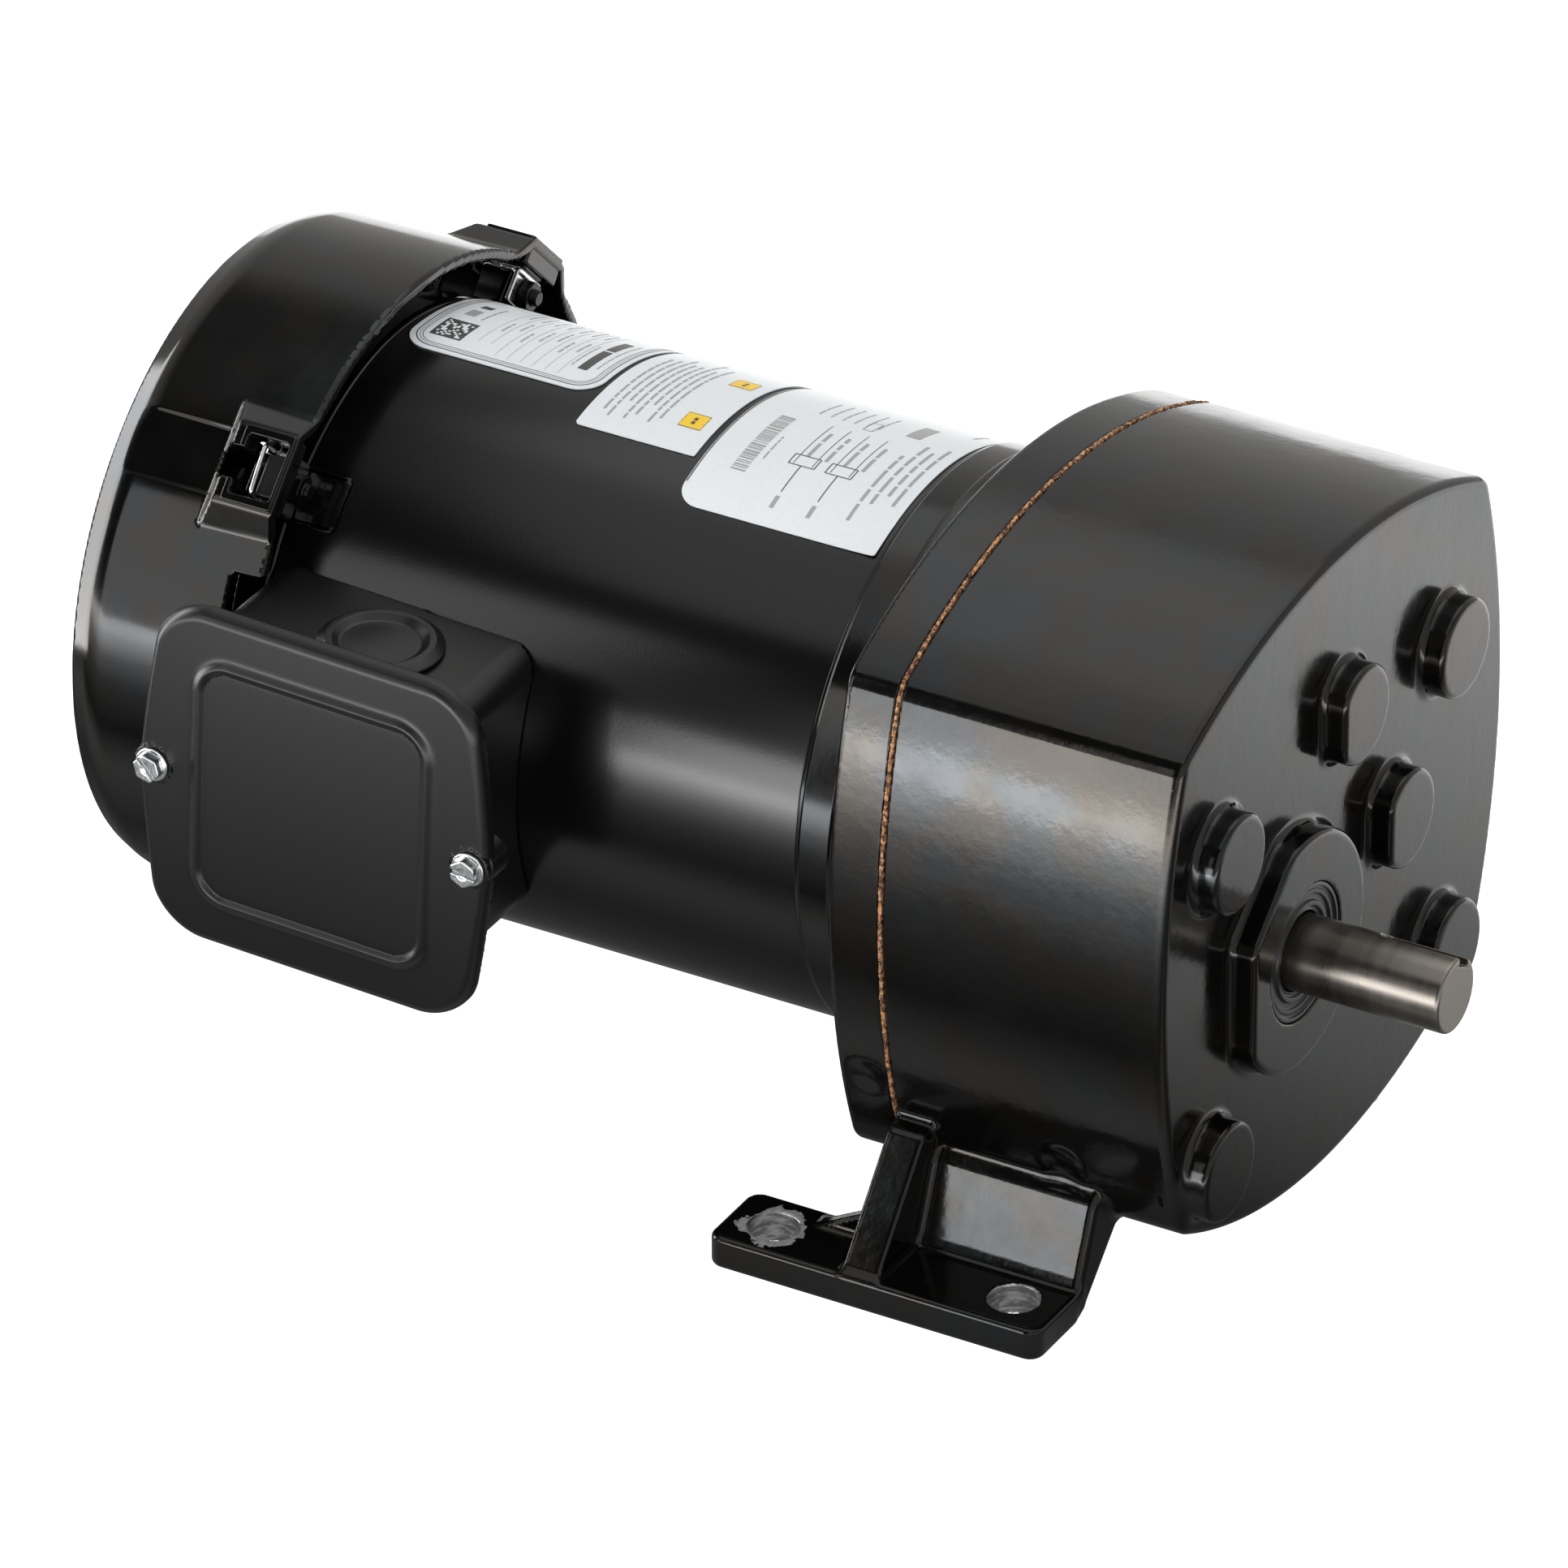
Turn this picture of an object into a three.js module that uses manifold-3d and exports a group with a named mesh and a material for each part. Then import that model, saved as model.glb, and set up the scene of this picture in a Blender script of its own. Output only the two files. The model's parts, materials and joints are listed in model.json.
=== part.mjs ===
// A parallel-shaft gearmotor: a fan-cooled single-phase motor behind a three-stage spur gear case.
// Millimetres, +Z up. The output shaft lies on the X axis and its end face is at X = 0, facing +X.
// The motor lies behind the gear case, towards -X. Y and Z give a place across the shaft.

import * as THREE from "three";
import { mergeVertices } from "three/addons/utils/BufferGeometryUtils.js";
import Module from "manifold-3d";

const wasm = await Module();
wasm.setup();

// ---------------------------------------------------------------- driving dimensions

const GAP = 0.3;                       // clearance between touching pieces
const OVER = 2;                        // how far a cutting tool runs past the face it cuts
const TAU = 2 * Math.PI;
// Sides on round pieces, from the smallest to the motor shell.
const [COARSE, MEDIUM, LARGE, FINE] = [10, 16, 24, 40];

const SHAFT_R = 9.525;                 // 3/4 inch output shaft
const BOSS_FACE_X = -40;               // front of the round bosses
const CASE_FRONT_X = -47;              // front face of the gear case
const SPLIT_X = -122;                  // back of the front half
const GASKET = 0.8;
const COVER_X = SPLIT_X - GASKET - 2 * GAP;
const COVER_BACK_X = -137;
const WALL = 6;

const CASE_MID_Y = 28;                 // the case is symmetric about this plane
const CASE_TOP_Z = 93.8;
const CASE_BOTTOM_Z = -75.3;
const CASE_HALF_WIDTH = 87.5;
const CASE_SIDE_Z = 14;                // height at which the case is widest
const CASE_TOP_R = 170;
const CASE_BOTTOM_R = 155;
const CASE_SIDE_R = 195;
const CASE_CORNER = 9;                 // how far each corner's rounding reaches along its arcs

const MOTOR = [28, 11.9];              // motor axis, as [y, z]
const SHELL_R = 72;
const SHELL_WALL = 2.5;
const SHELL_FRONT_X = -154.3;
const SHELL_BACK_X = -303;
const BELL_R = 74;

const FAN_COVER_R = 85.5;
const FAN_COVER_WALL = 3;
const FAN_COVER_FRONT_X = -299;
const FAN_COVER_BACK_X = -350;

const FOOT_FRONT_X = -68;
const FOOT_BACK_X = -158;
const FOOT_OUTER_Y = -81;
const FOOT_INNER_Y = -57.5;
const FOOT_TOP_Z = -71;
const FOOT_BOTTOM_Z = -79.5;
const FEET_MID_Y = 18.5;               // the two feet mirror about this plane
const FOOT_HOLE_Y = -69.5;
const FOOT_HOLES_X = [-80.4, -145.6];
const FOOT_HOLE_R = 6.35;

const BOX_CENTRE = [-267.5, 12.3];     // terminal box centre, as [x, z]
const BOX_FACE_Y = -78.8;
const BOX_TILT = THREE.MathUtils.degToRad(2.3);
const BOX_HALF_X = 37;
const BOX_HALF_Z = 36.5;
const BOX_SCREW_X = 43.9;

// Case screws and their bosses, as [y, z].
const SCREW_BOSSES = [[81.6, 41.6], [-33.8, 42], [-36.6, -41.6], [80.5, -42]];
const BOSS_R = 12.7;

// Gear train: motor pinion > gear A, pinion A > gear B, pinion B > output gear.
const STAGE_1 = { module: 1, pinion: 13, gear: 64, x: [-122, -112] };
const STAGE_2 = { module: 1.25, pinion: 26, gear: 52, x: [-107, -93] };
const STAGE_3 = { module: 1.5, pinion: 15, gear: 58, x: [-88, -68] };
const SHAFT_B_ANGLE = Math.atan2(8.6, 54);
const LAY_SHAFT_R = 6;

// ---------------------------------------------------------------- materials

const finish = (color, roughness, metalness) =>
  new THREE.MeshStandardMaterial({ color, roughness, metalness });

const CASE_PAINT = finish(0x0c0c0d, 0.22, 0.1);
const SHELL_PAINT = finish(0x101011, 0.55, 0.1);
const FAN_PLASTIC = finish(0x0b0b0c, 0.25, 0);
const BOX_PAINT = finish(0x232424, 0.5, 0.1);
const BLACK_PLASTIC = finish(0x141414, 0.5, 0);
const SHAFT_STEEL = finish(0x8f8a84, 0.32, 1);
const GEAR_STEEL = finish(0x8c8c8e, 0.3, 1);
const BEARING_STEEL = finish(0xb8babd, 0.2, 1);
const ZINC = finish(0xc3c8cc, 0.3, 1);
const GASKET_CORK = finish(0x9a5a2b, 0.85, 0);
const SEAL_RUBBER = finish(0x2a2b2c, 0.45, 0.2);
const BRONZE = finish(0xa47a3c, 0.4, 1);
const LAMINATION = finish(0x5a5c60, 0.5, 0.9);
const COPPER = finish(0xa4562a, 0.4, 0.9);
const ALUMINIUM = finish(0xa9abad, 0.45, 0.9);
const LABEL_FILM = finish(0xe9ecec, 0.4, 0);
const LEAD_INSULATION = finish(0x2c4f8f, 0.5, 0);
const BOARD = finish(0x6b3c1e, 0.6, 0);

// ---------------------------------------------------------------- solids, cuts and joins

// Turns a closed geometry into a solid whose faces point out.
function solid(geometry) {
  const bare = geometry.clone();
  bare.deleteAttribute("normal");
  bare.deleteAttribute("uv");
  const merged = mergeVertices(bare, 1e-4);
  const at = merged.attributes.position.array;
  const corners = [];
  for (let i = 0; i < merged.index.count; i += 3) {
    const [a, b, c] = [0, 1, 2].map((k) => merged.index.getX(i + k));
    if (a !== b && b !== c && c !== a) corners.push([a, b, c]);
  }
  const point = (i) => new THREE.Vector3().fromArray(at, 3 * i);
  const volume = corners.reduce((sum, [a, b, c]) => sum + point(a).dot(point(b).cross(point(c))), 0);
  const triVerts = Uint32Array.from(corners.flatMap(([a, b, c]) => (volume > 0 ? [a, b, c] : [a, c, b])));
  return new wasm.Manifold(new wasm.Mesh({ numProp: 3, vertProperties: Float32Array.from(at), triVerts }));
}

const join = (first, ...rest) => rest.reduce((whole, piece) => whole.add(piece), first);
const cut = (first, ...tools) => tools.reduce((whole, tool) => whole.subtract(tool), first);

function asMesh(name, shape, material) {
  const mesh = shape.getMesh();
  const geometry = new THREE.BufferGeometry();
  geometry.setAttribute("position", new THREE.BufferAttribute(Float32Array.from(mesh.vertProperties), 3));
  geometry.setIndex(Array.from(mesh.triVerts));
  geometry.computeVertexNormals();
  const made = new THREE.Mesh(geometry, material);
  made.name = name;
  return made;
}

// Maps a drawing in (y, z), extruded along its own normal, onto the shaft frame.
const ACROSS = new THREE.Matrix4().makeBasis(
  new THREE.Vector3(0, 1, 0), new THREE.Vector3(0, 0, 1), new THREE.Vector3(1, 0, 0));

const flat = (points) => new THREE.Shape(points.map(([u, v]) => new THREE.Vector2(u, v)));

// A prism along X over an outline of [y, z] points.
function prism(points, x0, x1) {
  const geometry = new THREE.ExtrudeGeometry(flat(points), { depth: x1 - x0, bevelEnabled: false });
  return solid(geometry.applyMatrix4(ACROSS).translate(x0, 0, 0));
}

// A prism along Y over an outline of [x, z] points.
function slab(points, y0, y1) {
  const geometry = new THREE.ExtrudeGeometry(flat(points), { depth: y1 - y0, bevelEnabled: false });
  return solid(geometry.rotateX(Math.PI / 2).translate(0, y1, 0));
}

// A turned solid round a line along X: profile of [x, radius] points, axis at [y, z].
function turned(profile, [y, z], segments) {
  const points = profile.map(([x, r]) => new THREE.Vector2(r, x));
  const geometry = new THREE.LatheGeometry(points, segments);
  return solid(geometry.rotateZ(-Math.PI / 2).translate(0, y, z));
}

const rod = (x0, x1, r, axis, segments) =>
  turned([[x0, 0], [x0, r], [x1, r], [x1, 0]], axis, segments);

const tube = (x0, x1, inner, outer, axis, segments) =>
  turned([[x0, inner], [x0, outer], [x1, outer], [x1, inner], [x0, inner]], axis, segments);

function block([x0, x1], [y0, y1], [z0, z1]) {
  const geometry = new THREE.BoxGeometry(x1 - x0, y1 - y0, z1 - z0);
  return solid(geometry.translate((x0 + x1) / 2, (y0 + y1) / 2, (z0 + z1) / 2));
}

// Rods along Z and along Y.
function upright(x, y, z0, z1, r, segments = MEDIUM) {
  const geometry = new THREE.CylinderGeometry(r, r, z1 - z0, segments).rotateX(Math.PI / 2);
  return solid(geometry.translate(x, y, (z0 + z1) / 2));
}

function crosswise(x, z, y0, y1, r, segments = MEDIUM) {
  const geometry = new THREE.CylinderGeometry(r, r, y1 - y0, segments);
  return solid(geometry.translate(x, (y0 + y1) / 2, z));
}

// Turns a point [y, z] at a radius and an angle about an axis.
const around = ([y, z], r, angle) => [y + r * Math.cos(angle), z + r * Math.sin(angle)];
const QUARTERS = [45, 135, 225, 315].map(THREE.MathUtils.degToRad);

// Where two circles meet, taking the crossing to the left of the line from the first to the second.
function meeting([y1, z1], r1, [y2, z2], r2) {
  const span = Math.hypot(y2 - y1, z2 - z1);
  const along = (r1 * r1 - r2 * r2 + span * span) / (2 * span);
  const off = Math.sqrt(r1 * r1 - along * along);
  const [uy, uz] = [(y2 - y1) / span, (z2 - z1) / span];
  return [y1 + along * uy - off * uz, z1 + along * uz + off * uy];
}

// ---------------------------------------------------------------- outlines

// Rounds the corners of a polygon: points are [u, v, radius].
function rounded(corners, steps = 4) {
  const count = corners.length;
  return corners.flatMap(([u, v, radius], i) => {
    const corner = new THREE.Vector2(u, v);
    const before = new THREE.Vector2(...corners[(i + count - 1) % count].slice(0, 2)).sub(corner).normalize();
    const after = new THREE.Vector2(...corners[(i + 1) % count].slice(0, 2)).sub(corner).normalize();
    const half = Math.acos(THREE.MathUtils.clamp(before.dot(after), -1, 1)) / 2;
    const reach = radius / Math.tan(half);
    const curve = new THREE.QuadraticBezierCurve(
      corner.clone().addScaledVector(before, reach), corner, corner.clone().addScaledVector(after, reach));
    return curve.getPoints(steps).map((p) => [p.x, p.y]);
  });
}

// The gear case outline: four shallow arcs, mirrored about the middle plane, with rounded corners.
function caseOutline(inset) {
  const topCentre = [0, CASE_TOP_Z - CASE_TOP_R];
  const bottomCentre = [0, CASE_BOTTOM_Z + CASE_BOTTOM_R];
  const sideCentre = [CASE_HALF_WIDTH - CASE_SIDE_R, CASE_SIDE_Z];
  const [topR, bottomR, sideR] = [CASE_TOP_R, CASE_BOTTOM_R, CASE_SIDE_R].map((r) => r - inset);
  const high = meeting(sideCentre, sideR, topCentre, topR);
  const low = meeting(bottomCentre, bottomR, sideCentre, sideR);
  const angleOf = ([y, z], [cy, cz]) => Math.atan2(z - cz, y - cy);
  const arc = (centre, r, a0, a1, steps) =>
    Array.from({ length: steps + 1 }, (_, i) => around(centre, r, a0 + ((a1 - a0) * i) / steps));
  const blend = (a, c, b) => new THREE.QuadraticBezierCurve(
    new THREE.Vector2(...a), new THREE.Vector2(...c), new THREE.Vector2(...b))
    .getPoints(3).slice(1, -1).map((p) => [p.x, p.y]);
  const topEnd = angleOf(high, topCentre) + CASE_CORNER / topR;
  const sideStart = angleOf(high, sideCentre) - CASE_CORNER / sideR;
  const sideEnd = angleOf(low, sideCentre) + CASE_CORNER / sideR;
  const bottomStart = angleOf(low, bottomCentre) - CASE_CORNER / bottomR;
  const top = arc(topCentre, topR, Math.PI / 2, topEnd, 4);
  const side = arc(sideCentre, sideR, sideStart, sideEnd, 4);
  const bottom = arc(bottomCentre, bottomR, bottomStart, -Math.PI / 2, 4);
  const half = [
    ...top, ...blend(top.at(-1), high, side[0]),
    ...side, ...blend(side.at(-1), low, bottom[0]),
    ...bottom,
  ];
  const mirrored = half.slice(1, -1).reverse().map(([h, z]) => [-h, z]);
  return [...half, ...mirrored].map(([h, z]) => [CASE_MID_Y + h, z]);
}

// A spur gear outline with thinned involute teeth; one tooth stands at the given angle.
function gearOutline(teeth, module, angle, addendum, thinning) {
  const pitchR = (teeth * module) / 2;
  const baseR = pitchR * Math.cos(THREE.MathUtils.degToRad(20));
  const rootR = pitchR - 1.25 * module;
  const tipR = pitchR + addendum * module;
  const involute = (r) => {
    const t = Math.sqrt(Math.max((r / baseR) ** 2 - 1, 0));
    return t - Math.atan(t);
  };
  const halfPitch = Math.PI / (2 * teeth) - (thinning * module) / (2 * pitchR);
  const halfAngle = (r) => halfPitch + involute(pitchR) - involute(Math.max(r, baseR));
  const footR = Math.max(rootR + 0.05 * module, baseR);
  const tipSlope = (halfAngle(pitchR) - halfAngle(tipR)) / (tipR - pitchR);
  const flank = teeth < 20
    ? [rootR, footR, tipR].map((r) => [r, halfAngle(r)])
    : [[rootR, halfAngle(pitchR) + tipSlope * (pitchR - rootR)], [tipR, halfAngle(tipR)]];
  return Array.from({ length: teeth }, (_, i) => angle + (TAU * i) / teeth).flatMap((centre) => [
    ...flank.map(([r, half]) => [r, centre - half]),
    ...flank.toReversed().map(([r, half]) => [r, centre + half]),
  ]).map(([r, a]) => [r * Math.cos(a), r * Math.sin(a)]);
}

// ---------------------------------------------------------------- gear train layout

const spacing = ({ module, pinion, gear }) => (module * (pinion + gear)) / 2;
const OUTPUT = [0, 0];
const SHAFT_B = around(OUTPUT, spacing(STAGE_3), SHAFT_B_ANGLE);
const SHAFT_A = meeting(MOTOR, spacing(STAGE_1), SHAFT_B, spacing(STAGE_2));

const bearing = ([y1, z1], [y2, z2]) => Math.atan2(z2 - z1, y2 - y1);
const PINION_ADDENDUM = 1;
const GEAR_ADDENDUM = 0.8;
const TOOTH_THINNING = 0.16;

const shifted = (points, [y, z]) => points.map(([u, v]) => [u + y, v + z]);

// The driving pinion of a stage has a tooth on the line of centres, and the gear has a space there.
function pinionTeeth(stage, from, to) {
  const outline = gearOutline(stage.pinion, stage.module, bearing(from, to), PINION_ADDENDUM, TOOTH_THINNING);
  return shifted(outline, from);
}

function gearTeeth(stage, from, to) {
  const spaceAngle = bearing(to, from) + Math.PI / stage.gear;
  return shifted(gearOutline(stage.gear, stage.module, spaceAngle, GEAR_ADDENDUM, TOOTH_THINNING), to);
}

// A gear wheel with a thinner web between its hub and its rim.
function wheel(stage, from, to, boreR, hubR) {
  const [x0, x1] = stage.x;
  const rimR = (stage.gear * stage.module) / 2 - 4.5 * stage.module;
  const webX = (x1 - x0) / 4;
  return cut(
    prism(gearTeeth(stage, from, to), x0, x1),
    tube(x1 - webX, x1 + OVER, hubR, rimR, to, MEDIUM),
    tube(x0 - OVER, x0 + webX, hubR, rimR, to, MEDIUM),
    rod(x0 - OVER, x1 + OVER, boreR + GAP, to, MEDIUM),
  );
}

// ---------------------------------------------------------------- gear case

const OUTPUT_BEARING = { x: [-63, -49], outer: 23.5, inner: 10 };
const SEAL = { x: [-48, -40.4], outer: 17.5 };
const BUSH = { outer: 9 };
const FRONT_BUSH_X = [-59, -47];
const REAR_BUSH_X = [-134, -124];
const CASE_SCREW_R = 4;
const SCREW_COLUMN_R = 7.5;

// The column round a case screw, with a web that runs outwards into the case wall.
function screwColumn([y, z], x0, x1) {
  const out = new THREE.Vector2(y - CASE_MID_Y, z - CASE_SIDE_Z / 2).normalize();
  const [halfWeb, reach] = [3.5, 70];
  const strip = [[0, -halfWeb], [reach, -halfWeb], [reach, halfWeb], [0, halfWeb]]
    .map(([u, v]) => [y + u * out.x - v * out.y, z + u * out.y + v * out.x]);
  return join(rod(x0, x1, SCREW_COLUMN_R, [y, z], 20), prism(strip, x0, x1));
}

// A round front boss with a rounded rim; cuts are flats given as [y, z, angle] half-planes.
function frontBoss(axis, r, flats = []) {
  const rim = 1.4;
  const root = CASE_FRONT_X - 3;
  const boss = turned([
    [root, 0], [root, r], [BOSS_FACE_X - rim, r], [BOSS_FACE_X, r - rim], [BOSS_FACE_X, 0],
  ], axis, r > 20 ? LARGE : MEDIUM);
  return cut(boss, ...flats.map(([distance, angle]) => {
    const half = 2 * r;
    const cutter = new THREE.BoxGeometry(20, half, 2 * half);
    cutter.translate(BOSS_FACE_X + 10 - 5.5, distance + half / 2, 0);
    cutter.rotateX(angle);
    cutter.translate(0, axis[0], axis[1]);
    return solid(cutter);
  }));
}

// One foot beside the case: a plate with two bolt holes, a web up to the case, a rib and its gusset.
function nearFoot() {
  const inside = FOOT_TOP_Z - 1;
  const corner = 4;
  const plate = new THREE.ExtrudeGeometry(flat(rounded([
    [FOOT_BACK_X, FOOT_OUTER_Y, corner], [FOOT_FRONT_X, FOOT_OUTER_Y, corner],
    [FOOT_FRONT_X, FOOT_INNER_Y, 1], [FOOT_BACK_X, FOOT_INNER_Y, 1],
  ], 3)), { depth: FOOT_TOP_Z - FOOT_BOTTOM_Z, bevelEnabled: false });
  const web = [[-59, inside], [FOOT_INNER_Y - 0.1, FOOT_BOTTOM_Z], [-38, -60], [-44, -48], [-51.5, -50]];
  const rib = [[FOOT_OUTER_Y, inside], [FOOT_OUTER_Y, FOOT_TOP_Z], [-55, -42.5], [-49, -42.5], [-49, inside]];
  const gusset = [[-121, inside], [-121, -62], [-137, FOOT_TOP_Z], [-137, inside]].reverse();
  return cut(
    join(
      solid(plate.translate(0, 0, FOOT_BOTTOM_Z)),
      prism(web, SPLIT_X + 1, FOOT_FRONT_X),
      prism(rib, SPLIT_X, SPLIT_X + 10),
      slab(gusset, -64, -60),
    ),
    ...FOOT_HOLES_X.map((x) =>
      upright(x, FOOT_HOLE_Y, FOOT_BOTTOM_Z - OVER, FOOT_TOP_Z + OVER, FOOT_HOLE_R)),
  );
}

// The far foot is the near one mirrored about the plane midway between them.
function farFoot() {
  const { geometry } = asMesh("far_foot", nearFoot(), CASE_PAINT);
  return solid(geometry.scale(1, -1, 1).translate(0, 2 * FEET_MID_Y, 0));
}

function gearCase() {
  const edge = 3;
  const body = new THREE.ExtrudeGeometry(flat(caseOutline(0)), {
    depth: CASE_FRONT_X - edge - SPLIT_X + 10, bevelThickness: edge, bevelSize: edge, bevelOffset: -edge,
    bevelSegments: 1,
  });
  const outside = solid(body.applyMatrix4(ACROSS).translate(SPLIT_X - 10, 0, 0))
    .intersect(block([SPLIT_X, 0], [-150, 200], [-150, 150]));
  const padOutline = rounded([[34, -68, 0.5], [34, -75.6, 0.5], [58, -75.6, 3], [61, -68, 0.5]], 2);
  const drainPad = prism(padOutline, -80, -49);
  const columns = SCREW_BOSSES.map((axis) => screwColumn(axis, SPLIT_X - OVER, CASE_FRONT_X - 1));
  const hubs = [
    rod(-64, CASE_FRONT_X - 1, 28.5, OUTPUT, LARGE),
    rod(FRONT_BUSH_X[0] - 1.5, CASE_FRONT_X - 1, 13, SHAFT_A, MEDIUM),
    rod(FRONT_BUSH_X[0] - 1.5, CASE_FRONT_X - 1, 13, SHAFT_B, MEDIUM),
  ];
  const cavity = cut(prism(caseOutline(WALL), SPLIT_X - 1, CASE_FRONT_X - WALL), ...columns, ...hubs);
  const bosses = [
    ...SCREW_BOSSES.map((axis) => frontBoss(axis, BOSS_R)),
    frontBoss(SHAFT_A, BOSS_R, [[10.2, Math.PI]]),
    frontBoss(SHAFT_B, BOSS_R, [[10.2, Math.PI]]),
    frontBoss(OUTPUT, 30.5, [[26, Math.PI], [27, THREE.MathUtils.degToRad(132)]]),
  ];
  const bores = [
    rod(OUTPUT_BEARING.x[0] - OVER, OUTPUT_BEARING.x[1] + GAP, OUTPUT_BEARING.outer + GAP, OUTPUT, LARGE),
    rod(SEAL.x[0] - GAP, OVER, SEAL.outer + GAP, OUTPUT, LARGE),
    rod(SEAL.x[0] - OVER, SEAL.x[0] + OVER, SEAL.outer - 3, OUTPUT, MEDIUM),
    rod(FRONT_BUSH_X[0] - OVER, FRONT_BUSH_X[1] + GAP, BUSH.outer + GAP, SHAFT_A, MEDIUM),
    rod(FRONT_BUSH_X[0] - OVER, FRONT_BUSH_X[1] + GAP, BUSH.outer + GAP, SHAFT_B, MEDIUM),
    ...SCREW_BOSSES.map((axis) => rod(SPLIT_X - OVER, -95, CASE_SCREW_R + GAP, axis, COARSE)),
  ];
  const filled = join(outside, drainPad, ...bosses, nearFoot(), farFoot());
  return asMesh("gear_case", cut(filled, cavity, ...bores), CASE_PAINT);
}

function caseGasket() {
  const front = SPLIT_X - GAP;
  const sheet = prism(caseOutline(-0.4), front - GASKET, front);
  const columns = SCREW_BOSSES.map((axis) => screwColumn(axis, front - 2 * OVER, front + 2 * OVER));
  const window = cut(prism(caseOutline(WALL), front - OVER, front + OVER), ...columns);
  const holes = SCREW_BOSSES.map((axis) => rod(front - OVER, front + OVER, CASE_SCREW_R + GAP, axis, COARSE));
  return asMesh("case_gasket", cut(sheet, window, ...holes), GASKET_CORK);
}

const SCREW_HEAD = { r: 6.5, length: 5 };
const MOTOR_SEAL = { x: [-136.7, -131.5], outer: 14.5, inner: 7.8 };

function gearCaseCover() {
  const floorX = -130;
  const columns = SCREW_BOSSES.map((axis) => screwColumn(axis, floorX - 1, COVER_X + OVER));
  const hubs = [OUTPUT, SHAFT_A, SHAFT_B].map((axis) => rod(floorX - 1, REAR_BUSH_X[1], 12.5, axis, MEDIUM));
  const cavity = cut(prism(caseOutline(WALL), floorX, COVER_X + 1), ...columns, ...hubs);
  const screwSinks = SCREW_BOSSES.flatMap((axis) => [
    rod(COVER_BACK_X - OVER, COVER_X + OVER, CASE_SCREW_R + GAP, axis, COARSE),
    rod(COVER_BACK_X - OVER, COVER_BACK_X + SCREW_HEAD.length + GAP, SCREW_HEAD.r + GAP, axis, COARSE),
  ]);
  const bores = [OUTPUT, SHAFT_A, SHAFT_B].map((axis) =>
    rod(REAR_BUSH_X[0] - GAP, COVER_X + OVER, BUSH.outer + GAP, axis, MEDIUM));
  const motorBore = rod(COVER_BACK_X - OVER, COVER_X + OVER, MOTOR_SEAL.outer + GAP, MOTOR, MEDIUM);
  const boltHoles = QUARTERS.map((angle) =>
    rod(COVER_BACK_X - OVER, COVER_BACK_X + 10, BOLT_R + GAP, around(MOTOR, BOLT_CIRCLE_R, angle), COARSE));
  const body = prism(caseOutline(0.3), COVER_BACK_X, COVER_X);
  const shape = cut(body, cavity, ...screwSinks, ...bores, motorBore, ...boltHoles);
  return asMesh("gear_case_cover", shape, CASE_PAINT);
}

function caseScrews() {
  return SCREW_BOSSES.map((axis, i) => {
    const headBack = COVER_BACK_X + GAP;
    const headFront = headBack + SCREW_HEAD.length - GAP;
    const screw = join(
      rod(headBack, headFront, SCREW_HEAD.r, axis, COARSE),
      rod(headFront - 1, -97, CASE_SCREW_R, axis, COARSE),
    );
    return asMesh(`case_screw_${i + 1}`, cut(screw, rod(headBack - OVER, headBack + 3, 3, axis, 6)), ZINC);
  });
}

// A rubber lip seal: a metal-backed ring with a thin lip that clears the shaft.
function lipSeal(name, x, inner, outer, axis) {
  const [back, front] = x;
  const lipX = (back + front) / 2;
  const bore = inner + GAP;
  return asMesh(name, turned([
    [back, outer], [front, outer], [front, outer - 2.5], [lipX + 1, outer - 3], [lipX + 1, inner + 2],
    [front - 0.6, bore], [lipX - 1, bore], [lipX - 1, outer - 2.5], [back, outer - 2.5], [back, outer],
  ], axis, MEDIUM), SEAL_RUBBER);
}

function ballBearing(name, x, inner, outer, axis) {
  const [back, front] = x;
  const race = (outer - inner) * 0.28;
  return [
    asMesh(`${name}_outer_ring`, tube(back, front, outer - race, outer, axis, LARGE), BEARING_STEEL),
    asMesh(`${name}_inner_ring`, tube(back, front, inner + GAP, inner + race, axis, MEDIUM), BEARING_STEEL),
  ];
}

// ---------------------------------------------------------------- output, intermediate and motor shafts

const KEYWAY = { width: 4.8, depth: 2.4, length: 32, angle: THREE.MathUtils.degToRad(62) };
const OUTPUT_GEAR_SEAT_R = 12.5;

function outputShaft() {
  const [gearBack, gearFront] = STAGE_3.x;
  const shaft = turned([
    [0, 0], [0, SHAFT_R - 1], [-1, SHAFT_R], [-48.5, SHAFT_R], [-48.5, 10], [-63.5, 10], [-63.5, 15],
    [gearFront + GAP, 15], [gearFront + GAP, OUTPUT_GEAR_SEAT_R], [gearBack - 1, OUTPUT_GEAR_SEAT_R],
    [gearBack - 1, SHAFT_R], [-123, SHAFT_R], [-123, 6], [-133, 6], [-133, 0],
  ], OUTPUT, LARGE);
  const slot = new THREE.BoxGeometry(KEYWAY.length + OVER, KEYWAY.depth + OVER, KEYWAY.width);
  slot.translate((OVER - KEYWAY.length) / 2, SHAFT_R - KEYWAY.depth + (KEYWAY.depth + OVER) / 2, 0);
  slot.rotateX(KEYWAY.angle);
  return asMesh("output_shaft", cut(shaft, solid(slot)), SHAFT_STEEL);
}

// An intermediate shaft with its pinion cut in one piece.
function layShaft(name, axis, stage, next, seatR, seatBackX) {
  const [x0, x1] = stage.x;
  const overlap = 1.5;
  return asMesh(name, join(
    rod(REAR_BUSH_X[0] + 1, FRONT_BUSH_X[1] - 1, LAY_SHAFT_R, axis, MEDIUM),
    rod(seatBackX, x0, seatR, axis, MEDIUM),
    prism(pinionTeeth(stage, axis, next), x0 - overlap, x1 + overlap),
  ), GEAR_STEEL);
}

const ROTOR_SHAFT_R = 8.5;

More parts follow.
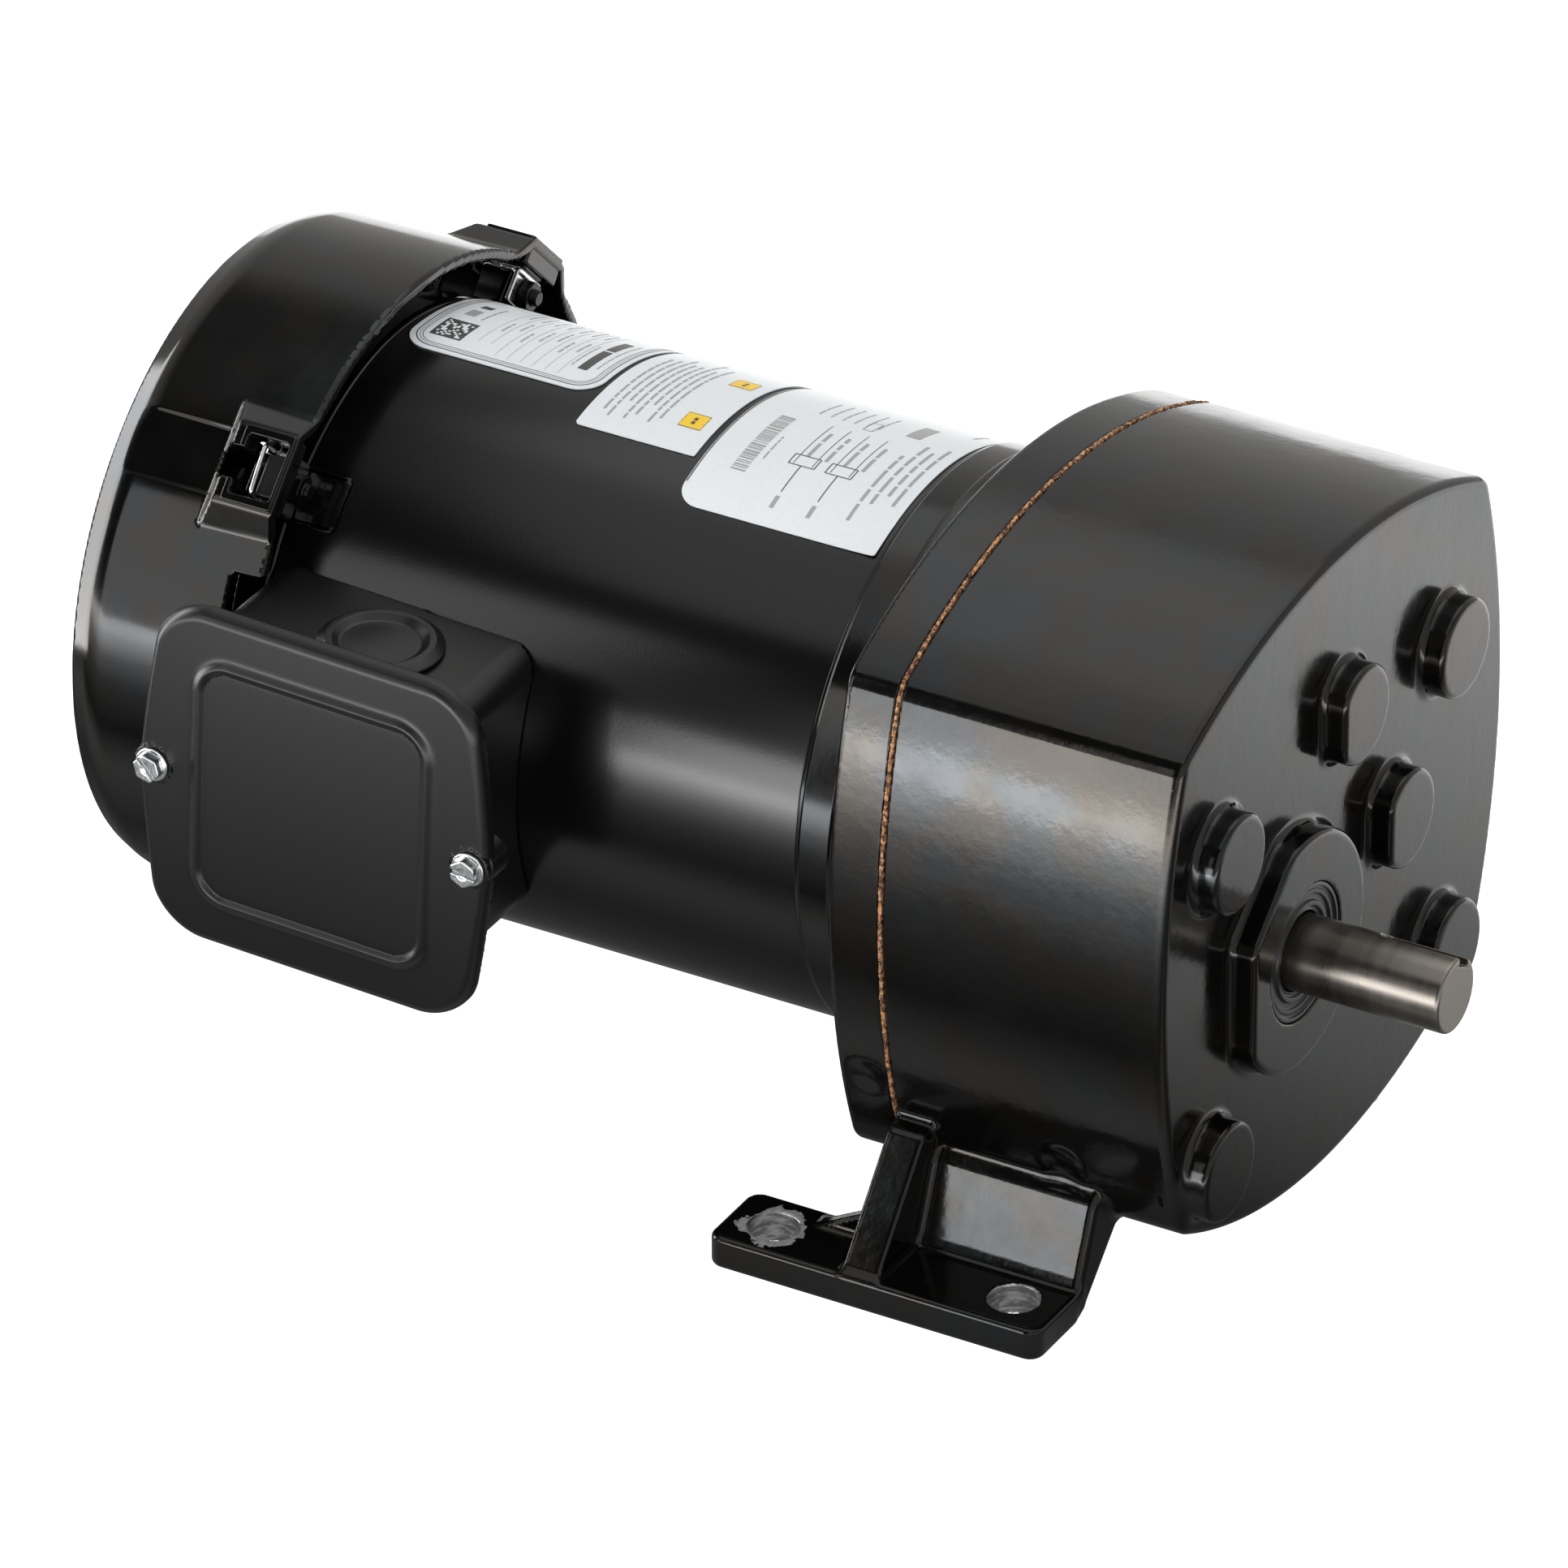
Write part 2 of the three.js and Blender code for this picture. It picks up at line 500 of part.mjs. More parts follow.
function motorShaft() {
  const [x0, x1] = STAGE_1.x;
  const neckR = 7.5;
  return asMesh("motor_shaft", join(
    turned([
      [x0 - 2, 0], [x0 - 2, neckR], [-139, neckR], [-139, ROTOR_SHAFT_R], [-311.5, ROTOR_SHAFT_R],
      [-311.5, 6.5], [-338, 6.5], [-338, 0],
    ], MOTOR, MEDIUM),
    prism(pinionTeeth(STAGE_1, MOTOR, SHAFT_A), x0 - 2.5, x1 + 1.5),
  ), SHAFT_STEEL);
}

// ---------------------------------------------------------------- motor

const CORE_X = [-260, -185];
const STATOR_BORE_R = 38.2;
const SPIGOT_R = SHELL_R - SHELL_WALL - GAP;   // where an end bell enters the shell
const BOLT_CIRCLE_R = 65.5;
const BOLT_R = 2.5;
const FRONT_BEARING = { x: [-151, -140], inner: ROTOR_SHAFT_R, outer: 20 };
const REAR_BEARING = { x: [-311.5, -300.5], inner: ROTOR_SHAFT_R, outer: 20 };

// The flange that joins the motor shell to the gear case.
function frontEndBell() {
  const back = SHELL_FRONT_X + GAP;
  const body = turned([
    [COVER_BACK_X - GAP, 0], [COVER_BACK_X - GAP, BELL_R + 1], [-144, BELL_R + 1], [-144.8, BELL_R],
    [back, BELL_R - 1], [back, SPIGOT_R], [back - 5, SPIGOT_R],
    [back - 5, SHELL_R - 8], [-144, SHELL_R - 8], [-144, 26], [FRONT_BEARING.x[0] - 1, 25],
    [FRONT_BEARING.x[0] - 1, 0],
  ], MOTOR, LARGE);
  const bolts = QUARTERS.map((angle) => {
    const axis = around(MOTOR, BOLT_CIRCLE_R, angle);
    return rod(back - 8, OVER + COVER_BACK_X, BOLT_R + GAP, axis, COARSE);
  });
  return asMesh("front_end_bell", cut(
    body,
    rod(FRONT_BEARING.x[0] - 3, FRONT_BEARING.x[1] + GAP, FRONT_BEARING.outer + GAP, MOTOR, LARGE),
    rod(-145, COVER_BACK_X + OVER, ROTOR_SHAFT_R + 1, MOTOR, MEDIUM),
    ...bolts,
  ), CASE_PAINT);
}

function motorShell() {
  const shell = tube(SHELL_BACK_X, SHELL_FRONT_X, SHELL_R - SHELL_WALL, SHELL_R, MOTOR, FINE);
  const leadHole = crosswise(BOX_CENTRE[0] + LEAD_HOLE.x, BOX_CENTRE[1], MOTOR[0] - SHELL_R - 5,
    MOTOR[0] - SHELL_R + 10, LEAD_HOLE.r, MEDIUM);
  return asMesh("motor_shell", cut(shell, leadHole), SHELL_PAINT);
}

function statorCore() {
  const [x0, x1] = CORE_X;
  const slots = 24;
  const slot = (i) => {
    const geometry = new THREE.BoxGeometry(x1 - x0 + OVER, 15, 5.6);
    geometry.translate((x0 + x1) / 2, STATOR_BORE_R + 6.2, 0).rotateX((TAU * (i + 0.5)) / slots);
    return solid(geometry.translate(0, ...MOTOR));
  };
  const notches = QUARTERS.map((angle) =>
    rod(x0 - OVER, x1 + OVER, BOLT_R + 3, around(MOTOR, BOLT_CIRCLE_R + 2, angle), COARSE));
  return asMesh("stator_core", cut(
    tube(x0, x1, STATOR_BORE_R, SHELL_R - SHELL_WALL - GAP, MOTOR, FINE),
    ...Array.from({ length: slots }, (_, i) => slot(i)),
    ...notches,
  ), LAMINATION);
}

function winding(name, x0, x1) {
  const inner = STATOR_BORE_R + 5;
  const outer = BOLT_CIRCLE_R - 5.5;
  const corner = 5;
  return asMesh(name, turned([
    [x0, inner], [x0, outer - corner], [x0 + corner, outer], [x1 - corner, outer], [x1, outer - corner],
    [x1, inner], [x0, inner],
  ], MOTOR, LARGE), COPPER);
}

// Laminated core with cast end rings.
function rotorCore() {
  const [x0, x1] = CORE_X;
  const radius = STATOR_BORE_R - 0.6;
  const ring = 8;
  const body = turned([
    [x0 - ring, 18], [x0 - ring, radius - 3], [x0, radius - 3], [x0, radius], [x1, radius], [x1, radius - 3],
    [x1 + ring, radius - 3], [x1 + ring, 18], [x1, 18], [x1, ROTOR_SHAFT_R + GAP], [x0, ROTOR_SHAFT_R + GAP],
    [x0, 18], [x0 - ring, 18],
  ], MOTOR, LARGE);
  return asMesh("rotor_core", body, ALUMINIUM);
}

function rearEndBell() {
  const front = SHELL_BACK_X - GAP;
  const back = -313;
  const body = turned([
    [back, 0], [back, SHELL_R], [front, SHELL_R], [front, SPIGOT_R], [front + 5, SPIGOT_R],
    [front + 5, SHELL_R - 8], [front - 4, SHELL_R - 8], [front - 4, 26], [-299, 25], [-299, 0],
  ], MOTOR, LARGE);
  const lugs = QUARTERS.map((angle) => {
    const geometry = new THREE.BoxGeometry(front - back - 1, 14, 12);
    geometry.translate((front + back) / 2, SHELL_R + 3, 0).rotateX(angle);
    return solid(geometry.translate(0, ...MOTOR));
  });
  const bolts = QUARTERS.map((angle) =>
    rod(back - OVER, front + 8, BOLT_R + GAP, around(MOTOR, BOLT_CIRCLE_R, angle), COARSE));
  const studs = QUARTERS.map((angle) =>
    rod(back - OVER, front + OVER, STUD_R + GAP, around(MOTOR, STUD_CIRCLE_R, angle), COARSE));
  return asMesh("rear_end_bell", cut(
    join(body, ...lugs),
    rod(REAR_BEARING.x[0] - GAP, -290, REAR_BEARING.outer + GAP, MOTOR, LARGE),
    rod(back - OVER, -300, ROTOR_SHAFT_R + 1, MOTOR, MEDIUM),
    ...bolts, ...studs,
  ), CASE_PAINT);
}

function throughBolts() {
  return QUARTERS.map((angle, i) => {
    const axis = around(MOTOR, BOLT_CIRCLE_R, angle);
    return asMesh(`through_bolt_${i + 1}`, join(
      rod(-313.3, -129, BOLT_R, axis, COARSE),
      rod(-317, -313.3, 4.5, axis, 6),
    ), ZINC);
  });
}

// ---------------------------------------------------------------- start switch and governor

const SWITCH_X = -296;

function startSwitch() {
  const board = cut(
    rod(SWITCH_X - 2, SWITCH_X, 34, MOTOR, MEDIUM),
    rod(SWITCH_X - OVER - 2, SWITCH_X + OVER, 19, MOTOR, MEDIUM),
    block([SWITCH_X - 9, SWITCH_X + 9], [MOTOR[0] - 40, MOTOR[0] + 40], [MOTOR[1] + 12, MOTOR[1] + 40]),
  );
  const terminals = [-26, 26].map((y) =>
    block(
      [SWITCH_X - 0.5, SWITCH_X + 6],
      [MOTOR[0] + y - 3, MOTOR[0] + y + 3],
      [MOTOR[1] - 4, MOTOR[1] + 4],
    ));
  return asMesh("start_switch", join(board, ...terminals), BOARD);
}

const GOVERNOR_X = -274;
const WEIGHT_PIVOT_R = 20;
const SPOOL_X = [-291, -280];

function governor() {
  const plate = cut(
    join(
      rod(GOVERNOR_X, GOVERNOR_X + 2, 24, MOTOR, MEDIUM),
      rod(GOVERNOR_X - 3, GOVERNOR_X + 2, 12, MOTOR, MEDIUM),
    ),
    rod(GOVERNOR_X - 9, GOVERNOR_X + 9, ROTOR_SHAFT_R + GAP, MOTOR, MEDIUM),
  );
  const [back, front] = SPOOL_X;
  const bore = ROTOR_SHAFT_R + GAP;
  const spool = turned([
    [back, bore], [back, 16], [back + 2, 16], [back + 2, 11.5], [front - 2, 11.5], [front - 2, 14],
    [front, 14], [front, bore], [back, bore],
  ], MOTOR, MEDIUM);
  const weights = [1, -1].map((side, i) => {
    const z = (r) => MOTOR[1] + side * r;
    const span = (a, b) => [Math.min(z(a), z(b)), Math.max(z(a), z(b))];
    const width = [MOTOR[0] - 8, MOTOR[0] + 8];
    const weight = join(
      block([GOVERNOR_X - 6, GOVERNOR_X - 1], width, span(WEIGHT_PIVOT_R - 3, WEIGHT_PIVOT_R + 3)),
      block([GOVERNOR_X - 14, GOVERNOR_X - 5], width, span(WEIGHT_PIVOT_R - 2, WEIGHT_PIVOT_R + 5)),
    );
    return asMesh(`governor_weight_${i + 1}`, weight, ZINC);
  });
  return [
    asMesh("governor_plate", plate, ZINC),
    asMesh("governor_spool", spool, BLACK_PLASTIC),
    ...weights,
  ];
}

// ---------------------------------------------------------------- fan, fan cover and its clips

function coolingFan() {
  const blades = Array.from({ length: 8 }, (_, i) => {
    const geometry = new THREE.BoxGeometry(17, 46, 2.4);
    geometry.translate(-327, 41, 0).rotateX((TAU * i) / 8);
    return solid(geometry.translate(0, ...MOTOR));
  });
  const body = cut(
    join(rod(-320.5, -318, 58, MOTOR, LARGE), rod(-336, -318, 20, MOTOR, MEDIUM), ...blades),
    rod(-340, -316, 6.5 + GAP, MOTOR, MEDIUM),
  );
  return asMesh("cooling_fan", body, BLACK_PLASTIC);
}

const RIB = { height: 4.5, top: 20, slope: 5, back: -318 };
const CHANNEL = { depth: 1.5, width: 17 };
const WINDOW = { x: [-309.5, -300.5], half: 7.5 };

// The outline of a hollow raised block on the cover's front edge, turned to an angle about the motor.
function ribOutline(angle, inset) {
  const top = FAN_COVER_R + RIB.height - inset;
  const half = RIB.top / 2 - inset * 0.4;
  const base = FAN_COVER_R - 8;
  const foot = half + RIB.slope + 3;
  const points = [[base, -foot], [top - RIB.height - 1.5, -foot + 1.5], [top, -half], [top, half],
    [top - RIB.height - 1.5, foot - 1.5], [base, foot]];
  const [c, s] = [Math.cos(angle), Math.sin(angle)];
  return shifted(points.map(([r, t]) => [r * c - t * s, r * s + t * c]), MOTOR);
}

// The shallow channel that runs from the cover's rear edge to each raised block.
function fanCoverChannel(angle, deeper) {
  const x0 = FAN_COVER_BACK_X - OVER;
  const geometry = new THREE.BoxGeometry(RIB.back - x0, 20, CHANNEL.width + 2 * deeper);
  geometry.translate((x0 + RIB.back) / 2, FAN_COVER_R - CHANNEL.depth - deeper + 10, 0).rotateX(angle);
  return solid(geometry.translate(0, ...MOTOR));
}

function fanCover() {
  const edge = 4;
  const back = FAN_COVER_BACK_X;
  const outside = join(
    turned([
      [back, 0], [back, FAN_COVER_R - edge - 1], [back + edge / 3, FAN_COVER_R - edge / 3 - 1],
      [back + edge, FAN_COVER_R - 1], [FAN_COVER_FRONT_X, FAN_COVER_R], [FAN_COVER_FRONT_X, 0],
    ], MOTOR, FINE),
    ...QUARTERS.map((angle) => prism(ribOutline(angle, 0), RIB.back, FAN_COVER_FRONT_X)),
  );
  const channels = QUARTERS.map((angle) => fanCoverChannel(angle, 0));
  const front = FAN_COVER_FRONT_X + OVER;
  const inside = join(
    cut(
      rod(back + FAN_COVER_WALL, front, FAN_COVER_R - FAN_COVER_WALL, MOTOR, FINE),
      ...QUARTERS.map((angle) => fanCoverChannel(angle, FAN_COVER_WALL)),
    ),
    ...QUARTERS.map((angle) => prism(ribOutline(angle, FAN_COVER_WALL), RIB.back + FAN_COVER_WALL, front)),
  );
  const windows = QUARTERS.map((angle) => {
    const [x0, x1] = WINDOW.x;
    const geometry = new THREE.BoxGeometry(x1 - x0, 30, 2 * WINDOW.half);
    geometry.translate((x0 + x1) / 2, FAN_COVER_R, 0).rotateX(angle);
    return solid(geometry.translate(0, ...MOTOR));
  });
  // Air inlet: rings of slots in the rear wall.
  const rings = [[20, 42], [51, 73]];
  const slotEnd = back + FAN_COVER_WALL + OVER;
  const grille = rings.map(([r0, r1]) => tube(back - OVER, slotEnd, r0, r1, MOTOR, MEDIUM));
  const spokes = Array.from({ length: 4 }, (_, i) => {
    const geometry = new THREE.BoxGeometry(FAN_COVER_WALL, 150, 5);
    geometry.translate(back + FAN_COVER_WALL / 2, 0, 0).rotateX((TAU * i) / 8);
    return solid(geometry.translate(0, ...MOTOR));
  });
  const boxNotch = slab(
    [[-307.5, -24.5], [-302, -28], [-290, -28], [-290, 52.5], [-302, 52.5], [-307.5, 51.5]], -80, -30);
  const shell = cut(outside, ...channels, inside, ...grille);
  const shape = cut(join(shell, ...spokes), ...windows, boxNotch);
  return asMesh("fan_cover", shape, FAN_PLASTIC);
}

const STUD_CIRCLE_R = 77.5;
const STUD_R = 2;

// A zinc bracket on the end bell's lug, with the stud and nut and the wire bail that hold the cover.
function coverClips() {
  return QUARTERS.map((angle, i) => {
    const front = SHELL_BACK_X - GAP;
    const turn = (geometry) => solid(geometry.rotateX(angle).translate(0, ...MOTOR));
    const plate = new THREE.BoxGeometry(1.2, 9, 14);
    plate.translate(front + GAP + 0.6, SHELL_R + 6, 0);
    const nut = new THREE.CylinderGeometry(3.6, 3.6, 3, 6).rotateZ(Math.PI / 2);
    nut.translate(front + GAP + 2.4, STUD_CIRCLE_R, 0);
    const stud = new THREE.CylinderGeometry(STUD_R, STUD_R, 16, 10).rotateZ(Math.PI / 2);
    stud.translate(front - 2, STUD_CIRCLE_R, 0);
    return asMesh(`cover_clip_${i + 1}`, join(turn(plate), turn(nut), turn(stud)), ZINC);
  });
}

// ---------------------------------------------------------------- terminal box

const LEAD_HOLE = { x: -6, r: 9 };
const KNOCKOUT = { x: -263, y: -55, r: 12.5, flange: 14.8 };
const COVER_SHEET = 1.6;
const EAR = { r: 5.5, depth: 8 };
const BOX_WALL = 2.5;

const boxOutline = (halfX, halfZ, tip, corner) => rounded([
  [-halfX, halfZ, corner], [halfX, halfZ, corner], [halfX + tip, 0, 8], [halfX, -halfZ, corner],
  [-halfX, -halfZ, corner], [-halfX - tip, 0, 8]], 3);

// Tilts a piece drawn about the box's own centre and sets it in place.
function inBox(name, geometrySolids, material) {
  const mesh = asMesh(name, geometrySolids, material);
  mesh.position.set(BOX_CENTRE[0], 0, BOX_CENTRE[1]);
  mesh.rotation.y = BOX_TILT;
  return mesh;
}

function terminalBox() {
  const front = BOX_FACE_Y + COVER_SHEET + GAP;
  const outline = (inset, corner) => rounded([-1, 1].flatMap((side) => [
    [side * (BOX_HALF_X - inset), -side * (BOX_HALF_Z - inset), corner],
    [side * (BOX_HALF_X - inset), side * (BOX_HALF_Z - inset), corner]]), 3);
  const ears = [-1, 1].map((side) => join(
    crosswise(side * BOX_SCREW_X, 0, front, front + EAR.depth, EAR.r),
    block([side * (BOX_HALF_X - 1), side * BOX_SCREW_X].toSorted((a, b) => a - b),
      [front, front + EAR.depth], [-EAR.r, EAR.r]),
  ));
  const screwHoles = [-1, 1].map((side) =>
    crosswise(side * BOX_SCREW_X, 0, front - OVER, front + 11, 2.3, COARSE));
  const shellRound = solid(
    new THREE.CylinderGeometry(SHELL_R + GAP, SHELL_R + GAP, 130, FINE).rotateZ(Math.PI / 2)
      .translate(0, MOTOR[0], MOTOR[1] - BOX_CENTRE[1]).rotateY(-BOX_TILT));
  const pocket = slab(outline(BOX_WALL, 4), front - OVER, MOTOR[0] - SHELL_R - BOX_WALL);
  const knockout = upright(
    KNOCKOUT.x - BOX_CENTRE[0], KNOCKOUT.y, BOX_HALF_Z - 10, BOX_HALF_Z + 5, KNOCKOUT.r + GAP);
  return inBox("terminal_box", cut(
    join(slab(outline(0, 6), front, -31), ...ears),
    pocket, shellRound, ...screwHoles, knockout, crosswise(LEAD_HOLE.x, 0, -60, -30, LEAD_HOLE.r, MEDIUM),
  ), BOX_PAINT);
}

function terminalBoxCover() {
  const plate = slab(boxOutline(43, 46.5, 8.3, 13), BOX_FACE_Y, BOX_FACE_Y + COVER_SHEET);
  const panel = slab(rounded([[-33, 34.5, 10], [33, 34.5, 10], [33, -34.5, 10], [-33, -34.5, 10]], 3),
    BOX_FACE_Y - 1.2, BOX_FACE_Y + 0.5);
  const holes = [-1, 1].map((side) =>
    crosswise(side * BOX_SCREW_X, 0, BOX_FACE_Y - OVER, BOX_FACE_Y + 4, 2.3, COARSE));
  return inBox("terminal_box_cover", cut(join(plate, panel), ...holes), BOX_PAINT);
}

function coverScrews() {
  return [-1, 1].map((side, i) => {
    const front = BOX_FACE_Y - GAP;
    const centre = side * BOX_SCREW_X;
    const slot = block([centre - 0.6, centre + 0.6], [front - 5, front - 2.2], [-5, 5]);
    return inBox(`terminal_box_screw_${i + 1}`, cut(join(
      crosswise(centre, 0, front - 3.4, front - 0.8, 3.1, 6),
      crosswise(centre, 0, front - 1, front, 4.1, 20),
      crosswise(centre, 0, front - 0.5, front + 10, 2, 10),
    ), slot), ZINC);
  });
}

function knockoutPlug() {
  const x = KNOCKOUT.x - BOX_CENTRE[0];
  const z = BOX_HALF_Z + GAP;
  const profile = [[0, -3], [KNOCKOUT.r - 0.5, -3], [KNOCKOUT.r - 0.5, 0], [KNOCKOUT.flange, 0],
    [KNOCKOUT.flange, 0.5], [12, 2.2], [10.5, 1.4], [0, 1.4]];
  const geometry = new THREE.LatheGeometry(profile.map(([r, h]) => new THREE.Vector2(r, h)), MEDIUM);
  const plug = solid(geometry.rotateX(Math.PI / 2).translate(x, KNOCKOUT.y, z));
  return inBox("knockout_plug", plug, BLACK_PLASTIC);
}

function leadGrommet() {
  const outerY = MOTOR[0] - SHELL_R;
  const profile = [[5.5, -3.6], [11, -3.6], [11, -3.1], [8.6, -3.1], [8.6, 3.6], [5.5, 3.6], [5.5, -3.6]];
  const geometry = new THREE.LatheGeometry(profile.map(([r, h]) => new THREE.Vector2(r, h)), MEDIUM);
  return inBox("lead_grommet", solid(geometry.translate(LEAD_HOLE.x, outerY - 0.2, 0)), BLACK_PLASTIC);
}

// The motor's own leads, from the grommet into the box, as one bundle.
function leadBundle() {
  const route = new THREE.CatmullRomCurve3([
    [LEAD_HOLE.x, -38, 0], [LEAD_HOLE.x, -52, 0], [-4, -60, 3], [6, -65, 12], [18, -65, 16],
  ].map((p) => new THREE.Vector3(...p)));
  const section = new THREE.Shape().absarc(0, 0, 4, 0, TAU);
  const geometry = new THREE.ExtrudeGeometry(section, { steps: 10, curveSegments: 4, extrudePath: route });
  return inBox("motor_leads", solid(geometry), LEAD_INSULATION);
}

// ---------------------------------------------------------------- labels

// A thin film on the shell between two angles, measured in degrees from +Y towards +Z.
function shellLabel(name, x0, x1, fromDegrees, toDegrees) {
  const steps = 10;
  const inner = SHELL_R + 0.12;
  const outer = SHELL_R + 0.42;
  const angles = Array.from({ length: steps + 1 }, (_, i) =>
    THREE.MathUtils.degToRad(fromDegrees + ((toDegrees - fromDegrees) * i) / steps));
  const points = [
    ...angles.map((a) => around(MOTOR, outer, a)),
    ...angles.toReversed().map((a) => around(MOTOR, inner, a)),
  ];
  return asMesh(name, prism(points, x0, x1), LABEL_FILM);
}

// ---------------------------------------------------------------- the assembly

const assembly = new THREE.Group();

const gears = new THREE.Group();
gears.add(
  outputShaft(),
  asMesh("output_gear", wheel(STAGE_3, SHAFT_B, OUTPUT, OUTPUT_GEAR_SEAT_R, 20), GEAR_STEEL),
  layShaft("intermediate_shaft_a", SHAFT_A, STAGE_2, SHAFT_B, 6.5, -123),
  asMesh("intermediate_gear_a", wheel(STAGE_1, MOTOR, SHAFT_A, 6.5, 13), GEAR_STEEL),
  layShaft("intermediate_shaft_b", SHAFT_B, STAGE_3, OUTPUT, 8, -110),
  asMesh("intermediate_gear_b", wheel(STAGE_2, SHAFT_A, SHAFT_B, 8, 15), GEAR_STEEL),
);

const gearHousing = new THREE.Group();
gearHousing.add(
  gearCase(), caseGasket(), gearCaseCover(), ...caseScrews(),
  lipSeal("output_seal", SEAL.x, SHAFT_R, SEAL.outer, OUTPUT),
  lipSeal("motor_shaft_seal", MOTOR_SEAL.x, MOTOR_SEAL.inner, MOTOR_SEAL.outer, MOTOR),
  ...ballBearing("output_bearing", OUTPUT_BEARING.x, OUTPUT_BEARING.inner, OUTPUT_BEARING.outer, OUTPUT),
  ...[["output_rear_bush", OUTPUT], ["bush_a_rear", SHAFT_A], ["bush_b_rear", SHAFT_B]].map(([name, axis]) =>
    asMesh(name, tube(...REAR_BUSH_X, LAY_SHAFT_R + GAP, BUSH.outer, axis, MEDIUM), BRONZE)),
  ...[["bush_a_front", SHAFT_A], ["bush_b_front", SHAFT_B]].map(([name, axis]) =>
    asMesh(name, tube(...FRONT_BUSH_X, LAY_SHAFT_R + GAP, BUSH.outer, axis, MEDIUM), BRONZE)),
);

const motor = new THREE.Group();
motor.add(
  frontEndBell(), motorShell(), rearEndBell(), statorCore(),
  winding("winding_front", CORE_X[1] + GAP, CORE_X[1] + 24),
  winding("winding_rear", CORE_X[0] - 24, CORE_X[0] - GAP),
  motorShaft(), rotorCore(), coolingFan(),
  ...ballBearing("motor_front_bearing", FRONT_BEARING.x, FRONT_BEARING.inner, FRONT_BEARING.outer, MOTOR),
  ...ballBearing("motor_rear_bearing", REAR_BEARING.x, REAR_BEARING.inner, REAR_BEARING.outer, MOTOR),
  startSwitch(), ...governor(), ...throughBolts(),
  fanCover(), ...coverClips(),
  shellLabel("nameplate", -301, -247, 50, 95),
  shellLabel("centre_label", -245.5, -212.5, 50, 104),
  shellLabel("wiring_label", -210.5, -155.5, 50, 115.5),
);

const wiring = new THREE.Group();
wiring.add(terminalBox(), terminalBoxCover(), ...coverScrews(), knockoutPlug(), leadGrommet(), leadBundle());

assembly.add(gearHousing, gears, motor, wiring);

export default assembly;
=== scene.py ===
"""The looks of a parallel-shaft gearmotor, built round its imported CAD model.

Shapes are worked out in millimetres and made in metres. Cast and moulded pieces are distance
fields that a surface net turns into meshes, so that their rims and corners are rounded as a
casting's are. Turned pieces are lathed, and sheet, wire and printed pieces are built point by
point. Where a bare number stands in a field, it is a size or a place in millimetres.
"""

import json
import math

import bmesh
import bpy
import numpy as np
from mathutils import Matrix, Vector

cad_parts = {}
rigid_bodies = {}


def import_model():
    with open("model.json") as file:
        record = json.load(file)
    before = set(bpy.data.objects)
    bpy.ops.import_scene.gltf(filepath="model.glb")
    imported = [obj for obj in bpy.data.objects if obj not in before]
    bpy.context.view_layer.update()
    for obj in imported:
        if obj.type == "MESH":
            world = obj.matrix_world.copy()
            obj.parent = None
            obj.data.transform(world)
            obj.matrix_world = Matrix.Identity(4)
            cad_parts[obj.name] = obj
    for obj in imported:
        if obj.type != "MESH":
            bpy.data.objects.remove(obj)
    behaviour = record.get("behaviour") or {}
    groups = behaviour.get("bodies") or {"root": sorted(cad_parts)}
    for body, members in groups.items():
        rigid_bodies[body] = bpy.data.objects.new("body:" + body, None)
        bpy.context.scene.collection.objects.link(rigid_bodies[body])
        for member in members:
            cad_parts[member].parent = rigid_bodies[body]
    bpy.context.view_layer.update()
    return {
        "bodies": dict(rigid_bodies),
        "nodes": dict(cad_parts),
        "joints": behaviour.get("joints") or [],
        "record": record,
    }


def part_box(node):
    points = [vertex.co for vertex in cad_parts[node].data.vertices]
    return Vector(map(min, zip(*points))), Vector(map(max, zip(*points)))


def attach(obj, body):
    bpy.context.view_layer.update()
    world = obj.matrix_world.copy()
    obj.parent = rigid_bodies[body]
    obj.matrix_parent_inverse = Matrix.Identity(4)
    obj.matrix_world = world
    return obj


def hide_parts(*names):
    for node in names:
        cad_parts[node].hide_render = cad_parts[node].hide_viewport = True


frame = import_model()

MM = 0.001


def span(node):
    """A node's lowest and highest corner, in millimetres."""
    low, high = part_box(node)
    return np.array(low) / MM, np.array(high) / MM


# ---------------- sizes from the frame

CASE_LOW, CASE_HIGH = span("gear_case")
SHELL_LOW, SHELL_HIGH = span("motor_shell")
FAN_LOW, FAN_HIGH = span("fan_cover")
COVER_LOW, COVER_HIGH = span("gear_case_cover")
GASKET_LOW, GASKET_HIGH = span("case_gasket")
BELL_LOW, BELL_HIGH = span("front_end_bell")
REAR_BACK = span("rear_end_bell")[0][0]
SEAL_LOW, SEAL_HIGH = span("output_seal")

MOTOR_Y, MOTOR_Z = (SHELL_LOW[1:] + SHELL_HIGH[1:]) / 2
MOTOR = (MOTOR_Y, MOTOR_Z)
SHELL_R = (SHELL_HIGH[1] - SHELL_LOW[1]) / 2
SHELL_BACK, SHELL_FRONT = SHELL_LOW[0], SHELL_HIGH[0]
FAN_BACK, FAN_FRONT = FAN_LOW[0], FAN_HIGH[0]
BOSS_FACE = CASE_HIGH[0]
CASE_FRONT = BOSS_FACE - 7
SPLIT = GASKET_HIGH[0] + 0.3
FLOOR_Z = CASE_LOW[2]
SEAL_R = SEAL_HIGH[1]

# The case outline's arcs, as the CAD model has them.
CASE_MID = 28.0
CASE_BOTTOM = -75.3
CASE_HALF = 87.5
CASE_SIDE_Z = 14.0
TOP_R, BOTTOM_R, SIDE_R = 170.0, 155.0, 195.0
WALL = 6.0
CASE_CENTRE = (CASE_MID, CASE_SIDE_Z / 2)

